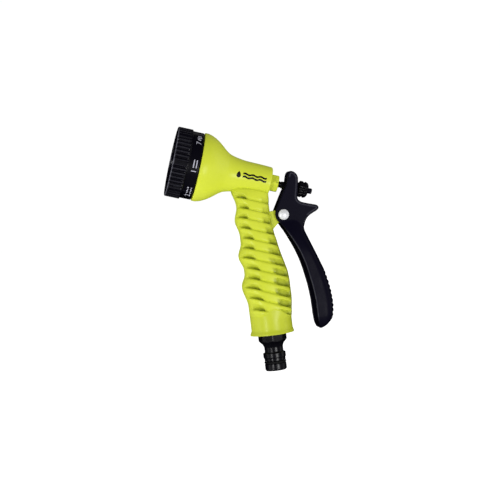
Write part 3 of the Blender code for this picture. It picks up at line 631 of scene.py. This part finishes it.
def text_polys(txt, size):
    """Triangles of a plain numeral, centred, size mm tall."""
    cu = bpy.data.curves.new("glyph", "FONT")
    cu.body = txt
    cu.size = size * 1.38
    cu.align_x = "CENTER"
    cu.align_y = "CENTER"
    cu.resolution_u = 4
    cu.offset = size * 0.016
    ob = bpy.data.objects.new("glyph", cu)
    COLL.objects.link(ob)
    bpy.context.view_layer.update()
    dg = bpy.context.evaluated_depsgraph_get()
    me = bpy.data.meshes.new_from_object(ob.evaluated_get(dg))
    polys = [[tuple(me.vertices[i].co[:2]) for i in p.vertices] for p in me.polygons]
    bpy.data.objects.remove(ob, do_unlink=True)
    bpy.data.curves.remove(cu)
    bpy.data.meshes.remove(me)
    return polys


def disc(cx, cy, r, n=14):
    return [(cx + r * math.cos(math.tau * i / n), cy + r * math.sin(math.tau * i / n)) for i in range(n)]


def bar(cx, cy, w, h, slant=0.0):
    return [(cx - w / 2 - slant, cy - h / 2), (cx + w / 2 - slant, cy - h / 2), (cx + w / 2 + slant, cy + h / 2),
            (cx - w / 2 + slant, cy + h / 2)]


def band_place(phi0, s0, r0=26.4):
    """Text runs up the near side, its top towards the spray."""
    def put(u, w, lift):
        th = phi0 - u / r0
        r = r0 + lift
        return to_head(np.stack([r * np.cos(th), r * np.sin(th), s0 - w], -1))
    return put


def barrel_place(s0, sign):
    """Flat marks on the barrel's side, reading rearwards on -Y (sign 1)."""
    def put(u, w, lift):
        s_ = s0 + u
        r = bell_r(s_) + lift
        phi = math.pi / 2 - (w + 0.5) / 12.5
        y = sign * r * np.sin(phi)
        return to_head(np.stack([r * np.cos(phi), y, s_], -1))
    return put


# small generic mark on both sides: a drop and two waves
DROP = []
for i in range(32):
    q = math.tau * i / 32
    wide = math.sin(q) * (math.sin(q / 2) ** 1.0)
    DROP.append((2.15 * wide - 10.0, 2.45 * math.cos(q)))
MARK = [DROP]
for cy in (1.2, -1.2):
    xs = np.linspace(-6.6, 12.2, 58)
    mid = cy + 0.42 * np.sin((xs + 6.6) / 3.13 * math.pi)
    MARK.append([(float(x_), float(m_) + 0.74) for x_, m_ in zip(xs, mid)]
                + [(float(x_), float(m_) - 0.74) for x_, m_ in zip(xs[::-1], mid[::-1])])
for nm, sg in (("mark_near", 1.0), ("mark_far", -1.0)):
    mk = wrap_flat(nm, MARK, barrel_place(62.6, sg), 0.05)
    if sg < 0:
        mk.data.flip_normals()
    dress(mk, M_MARK, "body")

# ------------------------------------------------------------ dial
RIBS = 49
PATTERNS = 7


def dial_fn(t, r, z):
    """Grip ribs in seven groups of six, with a smooth land between the groups."""
    g = (t / math.tau * PATTERNS + 0.14) % 1.0
    n = 6.0
    q = g * 7.0
    phase = (q % 1.0) - 0.5
    groove = np.exp(-(np.abs(phase) / 0.27) ** 3.0)
    groove = np.where(q >= n, groove * 0.0, groove)
    land = np.where(q >= n, 1.0, 0.0)
    zone = ramp(0.25, 0.8, z) * ramp(11.4, 10.6, z)
    outer = ramp(26.9, 27.3, r)
    return r - outer * zone * (0.95 * groove) - outer * zone * land * 0.22


ring = rounded([(24.3, 20.6), (26.4, 20.6), (26.4, 12.2), (27.5, 11.7), (27.5, 0.0), (25.5, 0.0), (24.7, 1.0),
                (24.6, 7.4), (21.5, 7.4), (21.5, 9.2), (24.3, 9.2)],
               [0.3, 0.45, 0.25, 0.35, 0.8, 0.5, 0.3, 0.1, 0.2, 0.2, 0.2], 5)
steps = 49 * 18
dial = turned_object("dial_skin", ring, steps, to_head, dial_fn, seg=0.55)
shade(dial, 40)


def set_painted_highlight(ob, values):
    ob.data.attributes.new("painted_highlight", "FLOAT", "POINT").data.foreach_set("value", np.asarray(values, np.float32))


# painted highlights: thin pale lines on the tops of the grip ribs and along the front rim
co = np.zeros(len(dial.data.vertices) * 3)
dial.data.vertices.foreach_get("co", co)
hs, hr, ht = head_polar(co.reshape(-1, 3) / MM)
groove = (27.5 - dial_fn(ht, np.full(len(ht), 27.5), np.clip(hs, 1.5, 10.0))) / 0.95
tops = ramp(0.55, 0.15, groove) * ramp(26.9, 27.3, hr) * ramp(0.6, 1.2, hs) * ramp(11.6, 11.2, hs)
rim = np.exp(-((hs - 0.32) / 0.34) ** 2) * ramp(26.2, 26.8, hr)
flat = 1.0 - 0.8 * np.where((ht / math.tau * PATTERNS + 0.14) % 1.0 * 7.0 >= 6.0, 1.0, 0.0)
crest = np.clip(1.0 - groove / 0.5, 0.0, 1.0) ** 2
set_painted_highlight(dial, np.maximum(0.13 * tops * flat * crest, 0.85 * rim))
dress(dial, M_DIAL, "dial", ("dial_ring",))

# pale printed number and small pictogram for each pattern
for k in range(PATTERNS):
    phi = math.radians(94.6) + math.tau * k / PATTERNS
    polys = [[(x_ - 3.3, y_) for x_, y_ in poly] for poly in text_polys(str(k + 1), 4.0)]
    if k == 0:
        polys += [bar(2.4, 1.1, 6.2, 0.85), bar(2.4, -1.1, 6.2, 0.85)]
    elif k == 1:
        polys += [disc(0.2 + 1.9 * i, 1.3 * (1 if i % 2 else -1), 0.62) for i in range(4)]
        polys += [disc(0.2 + 1.9 * i, -1.3 * (1 if i % 2 else -1), 0.5) for i in range(4)]
    elif k == 2:
        polys += [bar(0.2 + 1.75 * i, 0.0, 0.75, 3.4, 0.5) for i in range(4)]
    elif k == 3:
        polys += [[(-0.6, 0.0), (5.6, 1.9), (5.6, 1.05), (1.2, 0.0), (5.6, -1.05), (5.6, -1.9)]]
        polys += [bar(4.2, 0.0, 2.4, 0.6)]
    elif k == 4:
        polys += [bar(2.5, 0.0, 6.4, 0.95), bar(5.2, 0.0, 0.9, 3.2)]
    elif k == 5:
        polys += [disc(0.4, 0.0, 0.8), disc(2.8, 1.2, 0.62), disc(2.8, -1.2, 0.62), disc(5.0, 0.0, 0.62), disc(5.2, 1.7, 0.4), disc(5.2, -1.7, 0.4)]
    else:
        polys += [bar(0.3, 0.0, 1.1, 2.6, 0.2), bar(2.5, 0.0, 1.1, 3.4, -0.2), bar(4.7, 0.0, 1.1, 2.6, 0.2)]
    lab = wrap_flat("pattern_print_%d" % (k + 1), polys, band_place(phi, 17.2), 0.035)
    dress(lab, M_PRINT, "dial")

# front face
face_prof = rounded([(24.2, 7.1), (24.2, 3.1), (22.6, 3.1), (22.2, 3.6), (9.0, 3.6), (7.4, 2.6), (6.6, -0.3), (5.6, -0.95),
                     (3.8, -0.95), (3.7, 3.0), (1.8, 3.0), (1.8, 7.1)],
                    [0.2, 0.4, 0.3, 0.3, 0.8, 0.8, 0.5, 0.4, 0.25, 0.1, 0.1, 0.1], 4)
face = turned_object("face_skin", face_prof, 120, to_head)
adds, cuts = [], []


def on_face(cx, cy, turn=0.0):
    c_, s_ = math.cos(turn), math.sin(turn)

    def put(p):
        p = np.asarray(p, float)
        return to_head(np.stack([cx + p[..., 0] * c_ - p[..., 1] * s_, cy + p[..., 0] * s_ + p[..., 1] * c_, p[..., 2]], -1))
    return put


for k in range(PATTERNS):
    a = math.tau * k / PATTERNS
    cx, cy = 14.5 * math.cos(a), 14.5 * math.sin(a)
    pad = rounded([(0.0, 5.0), (5.0, 5.0), (4.8, 2.5), (4.2, 2.5), (3.9, 2.9), (0.0, 2.9)], [0, 0, 0.35, 0.3, 0.2, 0], 4, closed=False)
    adds.append((turned_object("pad%d" % k, pad, 40, on_face(cx, cy), closed=False), "UNION"))

    def drill(dx, dy, r, segs=16, turn=0.0, flare=1.5):
        pr = np.array([(0.0, 9.0), (r, 9.0), (r, 3.5), (r * flare, 2.4), (0.0, 2.4)])
        cuts.append((turned_object("drill%d" % len(cuts), pr, segs, on_face(cx + dx, cy + dy, turn), closed=False), "DIFFERENCE"))

    if k == 0:
        drill(0, 0, 1.5, 24)
    elif k == 1:
        for i in range(6):
            b = math.tau * i / 6
            drill(2.5 * math.cos(b), 2.5 * math.sin(b), 0.5, 10)
        drill(0, 0, 0.5, 10)
    elif k == 2:
        drill(0, 0, 0.75, 16, flare=2.6)
    elif k == 3:
        for i in range(3):
            b = math.tau * i / 3 + a
            drill(1.9 * math.cos(b), 1.9 * math.sin(b), 0.85, 12)
    elif k == 4:
        cuts.append((box_object("slot_a", (-0.5, -2.8, 2.4), (0.5, 2.8, 9.0), on_face(cx, cy, a)), "DIFFERENCE"))
    elif k == 5:
        cuts.append((box_object("slot_b", (-0.55, -2.1, 2.4), (0.55, 2.1, 9.0), on_face(cx, cy, a + math.pi / 2)), "DIFFERENCE"))
    else:
        for i in range(4):
            b = math.tau * i / 4
            drill(2.2 * math.cos(b), 2.2 * math.sin(b), 0.85, 12)
boolean(face, adds + cuts)
shade(face, 34)
co = np.zeros(len(face.data.vertices) * 3)
face.data.vertices.foreach_get("co", co)
hs, hr, ht = head_polar(co.reshape(-1, 3) / MM)
# painted glint: a pale ring on the front of the hub
set_painted_highlight(face, 0.9 * ramp(-0.2, -0.7, hs) * ramp(5.9, 5.3, hr))
dress(face, M_DIAL, "dial", ("spray_face",))

scr = rounded([(0.0, 20.0), (1.4, 20.0), (1.4, 2.3), (3.1, 2.3), (3.1, 1.35), (2.0, 0.75), (0.0, 0.6)],
              [0, 0.2, 0.1, 0.15, 0.35, 0.8, 0], 5, closed=False)
screw = turned_object("screw_skin", scr, 48, to_head, closed=False)
boolean(screw, [(box_object("cross1", (-1.9, -0.35, 0.2), (1.9, 0.35, 1.6), to_head), "DIFFERENCE"),
                (box_object("cross2", (-0.35, -1.9, 0.2), (0.35, 1.9, 1.6), to_head), "DIFFERENCE")])
shade(screw, 34)
dress(screw, M_STEEL, "body", ("face_screw",))

# ------------------------------------------------------------ gland nut, stem, knob
def hexed(apothem_corner, z0, z1, n=6, turn=0.0, soft=10.0):
    """Cuts a round profile to a polygon with that corner radius between z0 and z1."""
    def fn(t, r, z):
        ap = apothem_corner * math.cos(math.pi / n)
        q = (t + turn) % (math.tau / n) - math.pi / n
        rp = ap / np.cos(q)
        on = (z >= z0) & (z <= z1)
        return np.where(on & (r > ap * 0.9), np.minimum(r, rp), r)
    return fn


gl = rounded([(2.9, 85.4), (6.1, 85.4), (7.1, 84.7), (7.1, 79.4), (4.9, 79.4), (4.9, 73.2), (4.1, 73.2), (4.1, 76.6),
              (2.9, 76.6)], [0.25, 0.3, 0.3, 0.25, 0.1, 0.2, 0.1, 0.1, 0.2], 4)
gland = turned_object("gland_skin", gl, 144, to_head, hexed(7.3, 79.2, 85.6, 6, math.pi / 6), seg=0.4)
boolean(gland, [(box_object("notch", (0.2, 5.2, 83.2), (2.3, 9.0, 86.0), to_head), "DIFFERENCE"),
                (box_object("notch2", (-2.3, -9.0, 83.2), (-0.2, -5.2, 86.0), to_head), "DIFFERENCE")])
shade(gland, 26)
dress(gland, M_YELLOW, "body", ("gland_nut",))

st = rounded([(0.0, 110.0), (1.6, 110.0), (1.6, 101.0), (2.75, 100.6), (2.75, 88.2), (2.3, 87.8), (2.3, 87.0), (2.5, 86.6),
              (2.5, 51.2), (6.2, 51.0), (6.2, 49.3), (1.7, 49.2), (1.7, 46.6), (3.0, 46.5), (3.0, 45.4), (2.4, 44.9), (0.0, 44.9)],
             0.12, 3, closed=False)
stem = turned_object("stem_skin", st, 64, to_head, closed=False)
shade(stem, 34)
dress(stem, M_NIPPLE, "stem", ("valve_stem",))


def knob_fn(t, r, z):
    lobe = 0.5 + 0.5 * np.cos(16 * t)
    zone = ramp(101.9, 102.7, z) * ramp(108.7, 107.6, z)
    outer = ramp(5.2, 5.9, r)
    return r - outer * zone * 0.42 * (1 - lobe) ** 1.5


kn = rounded([(1.9, 109.6), (4.2, 109.6), (5.7, 108.7), (6.4, 107.0), (6.4, 106.5), (5.75, 106.2), (5.75, 105.2), (6.4, 104.9),
              (6.4, 102.5), (4.7, 101.3), (1.9, 101.3)], [0.2, 0.6, 1.6, 0.9, 0.2, 0.15, 0.15, 0.25, 0.5, 0.5, 0.2], 5)
knob = turned_object("knob_skin", kn, 256, to_head, knob_fn, seg=0.35)
shade(knob, 40)
dress(knob, M_NIPPLE, "knob", ("adjuster_knob",))

tp = rounded([(0.0, 113.0), (1.8, 113.0), (2.2, 112.5), (2.2, 109.9), (1.8, 109.9), (1.8, 110.4), (0.0, 110.4)],
             [0, 0.3, 0.2, 0.1, 0.05, 0.05, 0], 4, closed=False)
tip = turned_object("tip_skin", tp, 72, to_head, hexed(2.4, 109.0, 113.2), closed=False, seg=0.4)
shade(tip, 30)
dress(tip, M_BLACK, "stem", ("stem_end_nut",))

# ------------------------------------------------------------ lever
ARM_FRONT = [(121.0, 14.0), (116.0, 15.6), (112.0, 17.6), (108.0, 20.0), (100.0, 24.1), (90.0, 28.4), (80.0, 31.4),
             (70.0, 33.4), (60.0, 35.0), (48.0, 35.9), (38.0, 36.0), (32.0, 36.3), (28.9, 37.0)]
ARM_REAR = [(121.0, 33.4), (115.5, 34.6), (110.0, 35.2), (107.0, 35.3), (104.5, 36.0), (100.0, 37.6), (96.0, 39.0), (87.0, 42.3), (79.0, 45.1),
            (72.0, 47.5), (64.5, 49.2), (57.0, 50.4), (48.0, 51.0), (41.0, 50.4), (36.0, 49.0), (32.5, 46.0),
            (30.0, 43.0), (28.9, 40.2)]
ARM_WIDTH = [(121.0, 9.0), (115.8, 9.0), (112.5, 10.1), (109.0, 11.2), (105.0, 12.4), (100.0, 13.6), (95.0, 14.4),
             (90.0, 14.9), (85.0, 15.0), (60.0, 15.0), (40.0, 14.6),
             (33.0, 13.0), (28.9, 9.0)]


def arm_mesh(levels, inner=0.0, around=48):
    z = np.asarray(levels, float)
    xf, xr, hw = curve(ARM_FRONT, z), curve(ARM_REAR, z) - inner, curve(ARM_WIDTH, z) - inner
    back = np.minimum((xr - xf) * 0.62, hw)
    a = np.linspace(-math.pi / 2, math.pi / 2, around)
    ca, sa = np.maximum(0.0, np.cos(a)), np.sin(a)
    p = 2.6
    k = (np.abs(ca) ** p + np.abs(sa) ** p) ** (-1 / p)
    x0 = xf if inner == 0 else xf - 6.0
    X = np.concatenate([x0[:, None], (xr - back)[:, None] + back[:, None] * (ca * k)[None], x0[:, None]], 1)
    Y = np.concatenate([-hw[:, None], hw[:, None] * (sa * k)[None], hw[:, None]], 1)
    Z = np.repeat(z[:, None], X.shape[1], 1)
    v = np.stack([X, Y, Z], -1)
    n, m = X.shape
    i, j = np.arange(n - 1)[:, None], np.arange(m)[None, :]
    f = np.stack([i * m + j, i * m + (j + 1) % m, (i + 1) * m + (j + 1) % m, (i + 1) * m + j], -1).reshape(-1, 4)
    return v.reshape(-1, 3), [list(q) for q in f] + [list(range(m))[::-1], [(n - 1) * m + q for q in range(m)]]


PLATE = [(26.0, 149.8), (27.0, 152.6), (28.9, 154.3), (31.7, 153.0), (33.6, 150.8), (34.3, 148.2), (33.9, 144.4),
         (32.8, 138.0), (31.8, 133.4), (32.2, 130.9), (34.6, 128.9), (40.4, 127.0), (46.0, 125.4),
         (47.6, 123.9), (47.5, 122.2), (45.4, 120.6), (42.8, 119.5), (39.8, 118.0), (37.1, 115.6), (35.4, 112.6), (34.2, 108.5),
         (24.0, 108.0), (17.6, 112.4), (14.9, 115.6), (13.4, 118.4), (12.9, 121.4), (13.3, 124.2), (16.0, 129.2),
         (20.5, 137.4), (24.6, 144.2)]
plate = rounded(PLATE, [1.2, 1.4, 1.3, 1.4, 1.6, 3.0, 6.0, 6.0, 3.0, 2.6, 3.0, 6.0, 1.5, 1.3, 1.5, 2.5, 6.0, 8.0, 8.0, 8.0, 8.0, 0, 3.0,
                        3.0, 3.0, 3.0, 3.0, 8.0, 10.0, 6.0], 5)
lever = plate_object("lever_skin", plate, 9.0)
v, f = arm_mesh(np.concatenate([np.linspace(28.9, 36.0, 12), np.linspace(38.0, 96.0, 30), np.linspace(97.0, 117.0, 26)]))
arm = new_object("arm", mesh_from("arm", v, f))
v, f = arm_mesh(np.linspace(31.6, 111.3, 60), 2.6)
channel = new_object("channel", mesh_from("channel", v, f))
lug_slot = plate_object("lug_slot", [(5.0, 132.0), (20.0, 132.5), (29.0, 129.0), (29.0, 104.0), (5.0, 100.0)], 5.75)
stem_slot = box_object("stem_slot", (-3.0, -3.0, 80.0), (4.9, 3.0, 110.0), to_head)
front_slot = plate_object("front_slot", [(5.0, 131.0), (21.0, 131.5), (27.4, 137.5), (28.5, 147.0), (20.0, 150.0), (8.0, 136.0)], 3.0)
pin_bore = turned_object("pin_bore", np.array([(0.0, 20.0), (2.3, 20.0), (2.3, -20.0), (0.0, -20.0)]), 32, to_pin, closed=False)
boolean(lever, [(arm, "UNION"), (channel, "DIFFERENCE"), (lug_slot, "DIFFERENCE"), (stem_slot, "DIFFERENCE"),
                (front_slot, "DIFFERENCE"), (pin_bore, "DIFFERENCE")])
# moulded radii: fine voxel skin, relaxed
rm = lever.modifiers.new("skin", "REMESH")
rm.mode = "VOXEL"
rm.voxel_size = 0.36 * MM
rm.use_smooth_shade = True
sm = lever.modifiers.new("relax", "SMOOTH")
sm.factor = 0.5
sm.iterations = 15
evaluated(lever)
# ribs across the palm side
co = np.zeros(len(lever.data.vertices) * 3)
lever.data.vertices.foreach_get("co", co)
co = co.reshape(-1, 3) / MM
no = np.zeros(len(lever.data.vertices) * 3)
lever.data.vertices.foreach_get("normal", no)
no = no.reshape(-1, 3)
rz = curve(ARM_REAR, co[:, 2])
near_back = ramp(2.8, 0.9, rz - co[:, 0])
facing = ramp(0.25, 0.6, no[:, 0])
span = ramp(35.5, 38.0, co[:, 2]) * ramp(74.5, 72.0, co[:, 2])
rib = 0.5 - 0.5 * np.cos(np.clip(((co[:, 2] - 36.0) / 3.8) % 1.0, 0, 1) * math.tau)
co = co - no * (0.55 * (1 - rib) ** 1.5 * near_back * facing * span)[:, None]
lever.data.vertices.foreach_set("co", (co * MM).ravel())
lever.data.update()
for pl in lever.data.polygons:
    pl.use_smooth = True
# painted highlights: a fine pale line where the cheeks' rounded edge begins, and along the channel's front edges
seg_a, seg_b = plate, np.roll(plate, -1, axis=0)
near = np.full(len(co), 1e9)
at_x, at_z = np.zeros(len(co)), np.zeros(len(co))
for a_, b_ in zip(seg_a, seg_b):
    d_ = b_ - a_
    w_ = np.clip(((co[:, 0] - a_[0]) * d_[0] + (co[:, 2] - a_[1]) * d_[1]) / max(1e-9, float(d_ @ d_)), 0, 1)
    qx, qz = a_[0] + w_ * d_[0], a_[1] + w_ * d_[1]
    g_ = np.hypot(co[:, 0] - qx, co[:, 2] - qz)
    hit = g_ < near
    near = np.where(hit, g_, near)
    at_x, at_z = np.where(hit, qx, at_x), np.where(hit, qz, at_z)
rearward = np.where((at_x > 26.0) & (at_z > 117.0), 1.0, 0.0)
line = np.exp(-((near - 1.65) / 0.34) ** 2) * ramp(0.75, 0.95, np.abs(no[:, 1])) * ramp(8.2, 8.7, np.abs(co[:, 1])) * rearward
wall = ramp(1.0, 0.3, co[:, 0] - curve(ARM_FRONT, co[:, 2])) * ramp(-3.4, -1.6, np.abs(co[:, 1]) - curve(ARM_WIDTH, co[:, 2])) \
    * ramp(34.0, 40.0, co[:, 2]) * ramp(110.0, 104.0, co[:, 2])
set_painted_highlight(lever, np.maximum(0.38 * line, 0.34 * wall))
dress(lever, M_BLACK, "lever", ("trigger_lever",))

pin_prof = rounded([(0.0, 11.1), (1.7, 10.95), (3.2, 10.4), (4.1, 9.8), (4.1, 9.3), (2.0, 9.3), (2.0, -10.9), (0.0, -10.9)],
                   [0, 1.5, 1.5, 0.3, 0.12, 0.1, 0.3, 0], 5, closed=False)
pin = turned_object("pin_skin", pin_prof, 72, to_pin, closed=False)
shade(pin, 40)
dress(pin, M_PIN, "body", ("pivot_pin",))
clip_prof = rounded([(4.2, -9.4), (4.2, -10.2), (2.3, -10.2), (2.3, -9.4)], 0.15, 3)
clip = turned_object("clip_skin", clip_prof, 64, to_pin)
shade(clip, 34)
dress(clip, M_STEEL, "body", ("pivot_clip",))

# ------------------------------------------------------------ inlet nipple
def nipple_fn(t, r, z):
    ap = 11.2 * math.cos(math.pi / 8)
    q = (t - math.radians(15.5) + math.pi / 8) % (math.tau / 8) - math.pi / 8
    out = np.where((z > 22.6) & (z < 28.9) & (r > 9.2), np.minimum(r, ap / np.cos(q)), r)
    return out


np_prof = rounded([(5.5, 41.2), (9.0, 41.2), (9.0, 28.7), (11.6, 28.7), (11.6, 24.2), (10.4, 23.0), (8.4, 21.0),
                   (7.4, 18.6), (7.4, 14.6), (8.9, 13.9), (8.9, 10.4), (8.3, 9.8), (8.3, 7.8), (7.2, 7.8),
                   (7.2, 5.4), (8.5, 5.4), (8.5, 1.0), (7.8, 0.0), (5.5, 0.0)],
                  [0.2, 0.4, 0.2, 0.2, 0.4, 0.4, 1.5, 1.5, 0.5, 0.3, 0.4, 0.3, 0.2, 0.15, 0.15, 0.25, 0.4, 0.5, 0.4], 4)
nip = turned_object("nipple_skin", np_prof, 192, plain, nipple_fn, seg=0.6)
shade(nip, 30)
dress(nip, M_NIPPLE, "body", ("inlet_nipple",))
orp = [(8.0 + 0.75 * math.cos(q), 6.6 + 0.75 * math.sin(q)) for q in -np.arange(16) * math.tau / 16]
orn = turned_object("nipple_ring_skin", np.array(orp), 96)
shade(orn, 60)
dress(orn, M_RUBBER, "body", ("nipple_oring",))

# ------------------------------------------------------------ pieces kept from the frame
def helix_object(name, r, wire, z0, z1, turns, place, per_turn=40, around=10):
    """Round wire wound about Z with closed ends, from z0 to z1 over everything."""
    n = int(turns * per_turn) + 1
    u = np.linspace(0.0, 1.0, n)
    a = u * turns * math.tau
    lift = ramp(0.0, 0.9 / turns, u) * 0.5 * 0.9 / turns + np.clip(u - 0.9 / turns, 0, 1)       # dead coils at both ends
    v_ = np.clip(1.0 - u, 0, 1)
    fall = ramp(0.0, 0.9 / turns, v_) * 0.5 * 0.9 / turns + np.clip(v_ - 0.9 / turns, 0, 1)
    h = (lift + (fall[0] - fall)) / (lift[-1] + fall[0])
    c = np.stack([r * np.cos(a), r * np.sin(a), z0 + wire + (z1 - z0 - 2 * wire) * h], -1)
    t_ = np.gradient(c, axis=0)
    t_ /= np.linalg.norm(t_, axis=1)[:, None]
    e1 = np.stack([np.cos(a), np.sin(a), np.zeros(n)], -1)
    e2 = np.cross(t_, e1)
    q = np.arange(around) * math.tau / around
    p = c[:, None] + wire * (np.cos(q)[None, :, None] * e1[:, None] + np.sin(q)[None, :, None] * e2[:, None])
    faces = [[i * around + j, i * around + (j + 1) % around, (i + 1) * around + (j + 1) % around, (i + 1) * around + j]
             for i in range(n - 1) for j in range(around)]
    faces += [list(range(around))[::-1], [(n - 1) * around + j for j in range(around)]]
    return new_object(name, mesh_from(name, place(p.reshape(-1, 3)), faces))


# the return spring as a wound coil; its rear end sits against the washer
coil = helix_object("spring_skin", 4.3, 0.5, 51.5, 70.9, 6.5, to_head)
shade(coil, 60)
dress(coil, M_STEEL, "body", ("return_spring",))
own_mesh(coil)

KEEP = {"distributor": M_CORE, "flow_tube": M_TUBE, "face_washer": M_STEEL, "port_spring": M_STEEL, "detent_ball": M_STEEL,
        "detent_spring": M_STEEL, "valve_seat": M_BRASS, "spring_washer": M_BRASS,
        "distributor_oring": M_RUBBER, "port_seal": M_RUBBER, "valve_washer": M_RUBBER, "gland_oring": M_RUBBER,
        "flow_tube_oring": M_RUBBER, "inlet_gasket": M_RUBBER}
for name, mat in KEEP.items():
    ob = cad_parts[name]
    for i in range(len(ob.material_slots)):
        ob.material_slots[i].material = mat

# ------------------------------------------------------------ stage, light, camera
floor_me = bpy.data.meshes.new("floor")
bm = bmesh.new()
bmesh.ops.create_circle(bm, cap_ends=True, segments=96, radius=30.0)
bmesh.ops.translate(bm, verts=bm.verts, vec=Vector((0.0, 0.0, -0.45)))
bm.to_mesh(floor_me)
bm.free()
floor = bpy.data.objects.new("floor", floor_me)
COLL.objects.link(floor)
mf = bpy.data.materials.new("pale_floor")
mf.use_nodes = True
pf = mf.node_tree.nodes["Principled BSDF"]
pf.inputs["Base Color"].default_value = (0.90, 0.90, 0.90, 1.0)
pf.inputs["Roughness"].default_value = 0.9
pf.inputs["Specular IOR Level"].default_value = 0.1
pf.inputs["Emission Color"].default_value = (1.0, 1.0, 1.0, 1.0)
pf.inputs["Emission Strength"].default_value = 0.75
floor_me.materials.append(mf)
floor.visible_diffuse = False
floor.visible_glossy = False

scene = bpy.context.scene
scene.view_settings.view_transform = "Standard"
scene.view_settings.look = "None"
world = bpy.data.worlds.new("studio")
scene.world = world
world.use_nodes = True
wt = world.node_tree
bg = wt.nodes["Background"]
bg.inputs["Color"].default_value = (1.0, 1.0, 1.0, 1.0)
tc = node(wt, "ShaderNodeTexCoord", (-1200, 0))
sep = node(wt, "ShaderNodeSeparateXYZ", (-1000, 0))
wt.links.new(tc.outputs["Generated"], sep.inputs["Vector"])


def sky(src, a, b, va, vb):
    """Smooth step of a direction component."""
    r = node(wt, "ShaderNodeMapRange", (-700, 0), interpolation_type="SMOOTHSTEP")
    r.inputs["From Min"].default_value, r.inputs["From Max"].default_value = a, b
    r.inputs["To Min"].default_value, r.inputs["To Max"].default_value = va, vb
    wt.links.new(src, r.inputs["Value"])
    return r.outputs["Result"]


def times(a, b, op="MULTIPLY"):
    m = node(wt, "ShaderNodeMath", (-400, 0), operation=op)
    for i, q in enumerate((a, b)):
        if isinstance(q, float):
            m.inputs[i].default_value = q
        else:
            wt.links.new(q, m.inputs[i])
    return m.outputs[0]


# tent: paler below than above, dim behind the lens, white where the backdrop shows
dome = times(sky(sep.outputs["Z"], -0.5, 0.5, SKY_LOW, SKY_HIGH), sky(sep.outputs["Y"], -0.95, -0.30, SKY_FRONT, 1.0))
band = times(times(sky(sep.outputs["Z"], 0.34, 0.46, 1.0, 0.0), sky(sep.outputs["Z"], -0.30, -0.12, 0.0, 1.0)),
             sky(sep.outputs["Y"], -0.55, -0.30, 0.0, 1.0))
total = times(dome, times(band, times(1.02, dome, "SUBTRACT")), "ADD")
wt.links.new(total, bg.inputs["Strength"])
world.cycles_visibility.glossy = False


def area(name, az, el, dist, size, power, color=(1, 1, 1)):
    """Soft box: az turns from -Y towards +X, el is upwards, both seen from the part."""
    a_, e_ = math.radians(az), math.radians(el)
    aim = Vector((-0.010, 0.0, 0.105))
    pos = aim + Vector((math.sin(a_) * math.cos(e_), -math.cos(a_) * math.cos(e_), math.sin(e_))) * dist
    d = bpy.data.lights.new(name, "AREA")
    d.shape = "RECTANGLE"
    d.size, d.size_y = size
    d.energy = power
    d.color = color
    o = bpy.data.objects.new(name, d)
    COLL.objects.link(o)
    o.location = pos
    o.rotation_euler = (aim - pos).to_track_quat("-Z", "Y").to_euler()
    o.visible_camera = False
    return o


area("key", 20.0, -13.0, 1.0, (0.28, 0.28), 3.3)
area("left_soft", -36.0, -4.0, 1.0, (0.12, 0.55), 2.8)
area("wide_left", -78.0, 4.0, 1.1, (0.40, 1.0), 1.3)
area("wide_right", 84.0, 5.0, 1.1, (0.5, 1.0), 1.0)
area("back", 150.0, 35.0, 1.1, (0.5, 0.5), 0.15)

AZ, EL, ROLL = math.radians(-6.4), math.radians(2.2), math.radians(7.0)
DIST, FPX = 1.064, 1355.5
TARGET = Vector((-0.009220, 0.0, 0.0963))
back = Vector((math.sin(AZ) * math.cos(EL), -math.cos(AZ) * math.cos(EL), math.sin(EL)))
right = Vector((math.cos(AZ), math.sin(AZ), 0.0))
up = back.cross(right)
R = right * math.cos(ROLL) - up * math.sin(ROLL)
U = right * math.sin(ROLL) + up * math.cos(ROLL)
cam_d = bpy.data.cameras.new("camera")
cam = bpy.data.objects.new("camera", cam_d)
COLL.objects.link(cam)
loc = TARGET + back * DIST
cam.matrix_world = Matrix(((R.x, U.x, back.x, loc.x), (R.y, U.y, back.y, loc.y), (R.z, U.z, back.z, loc.z), (0, 0, 0, 1)))
cam_d.sensor_width = 36.0
cam_d.lens = 36.0 * FPX / 500.0
cam_d.clip_start = 0.05
cam_d.clip_end = 60.0
scene.camera = cam

bpy.context.view_layer.update()
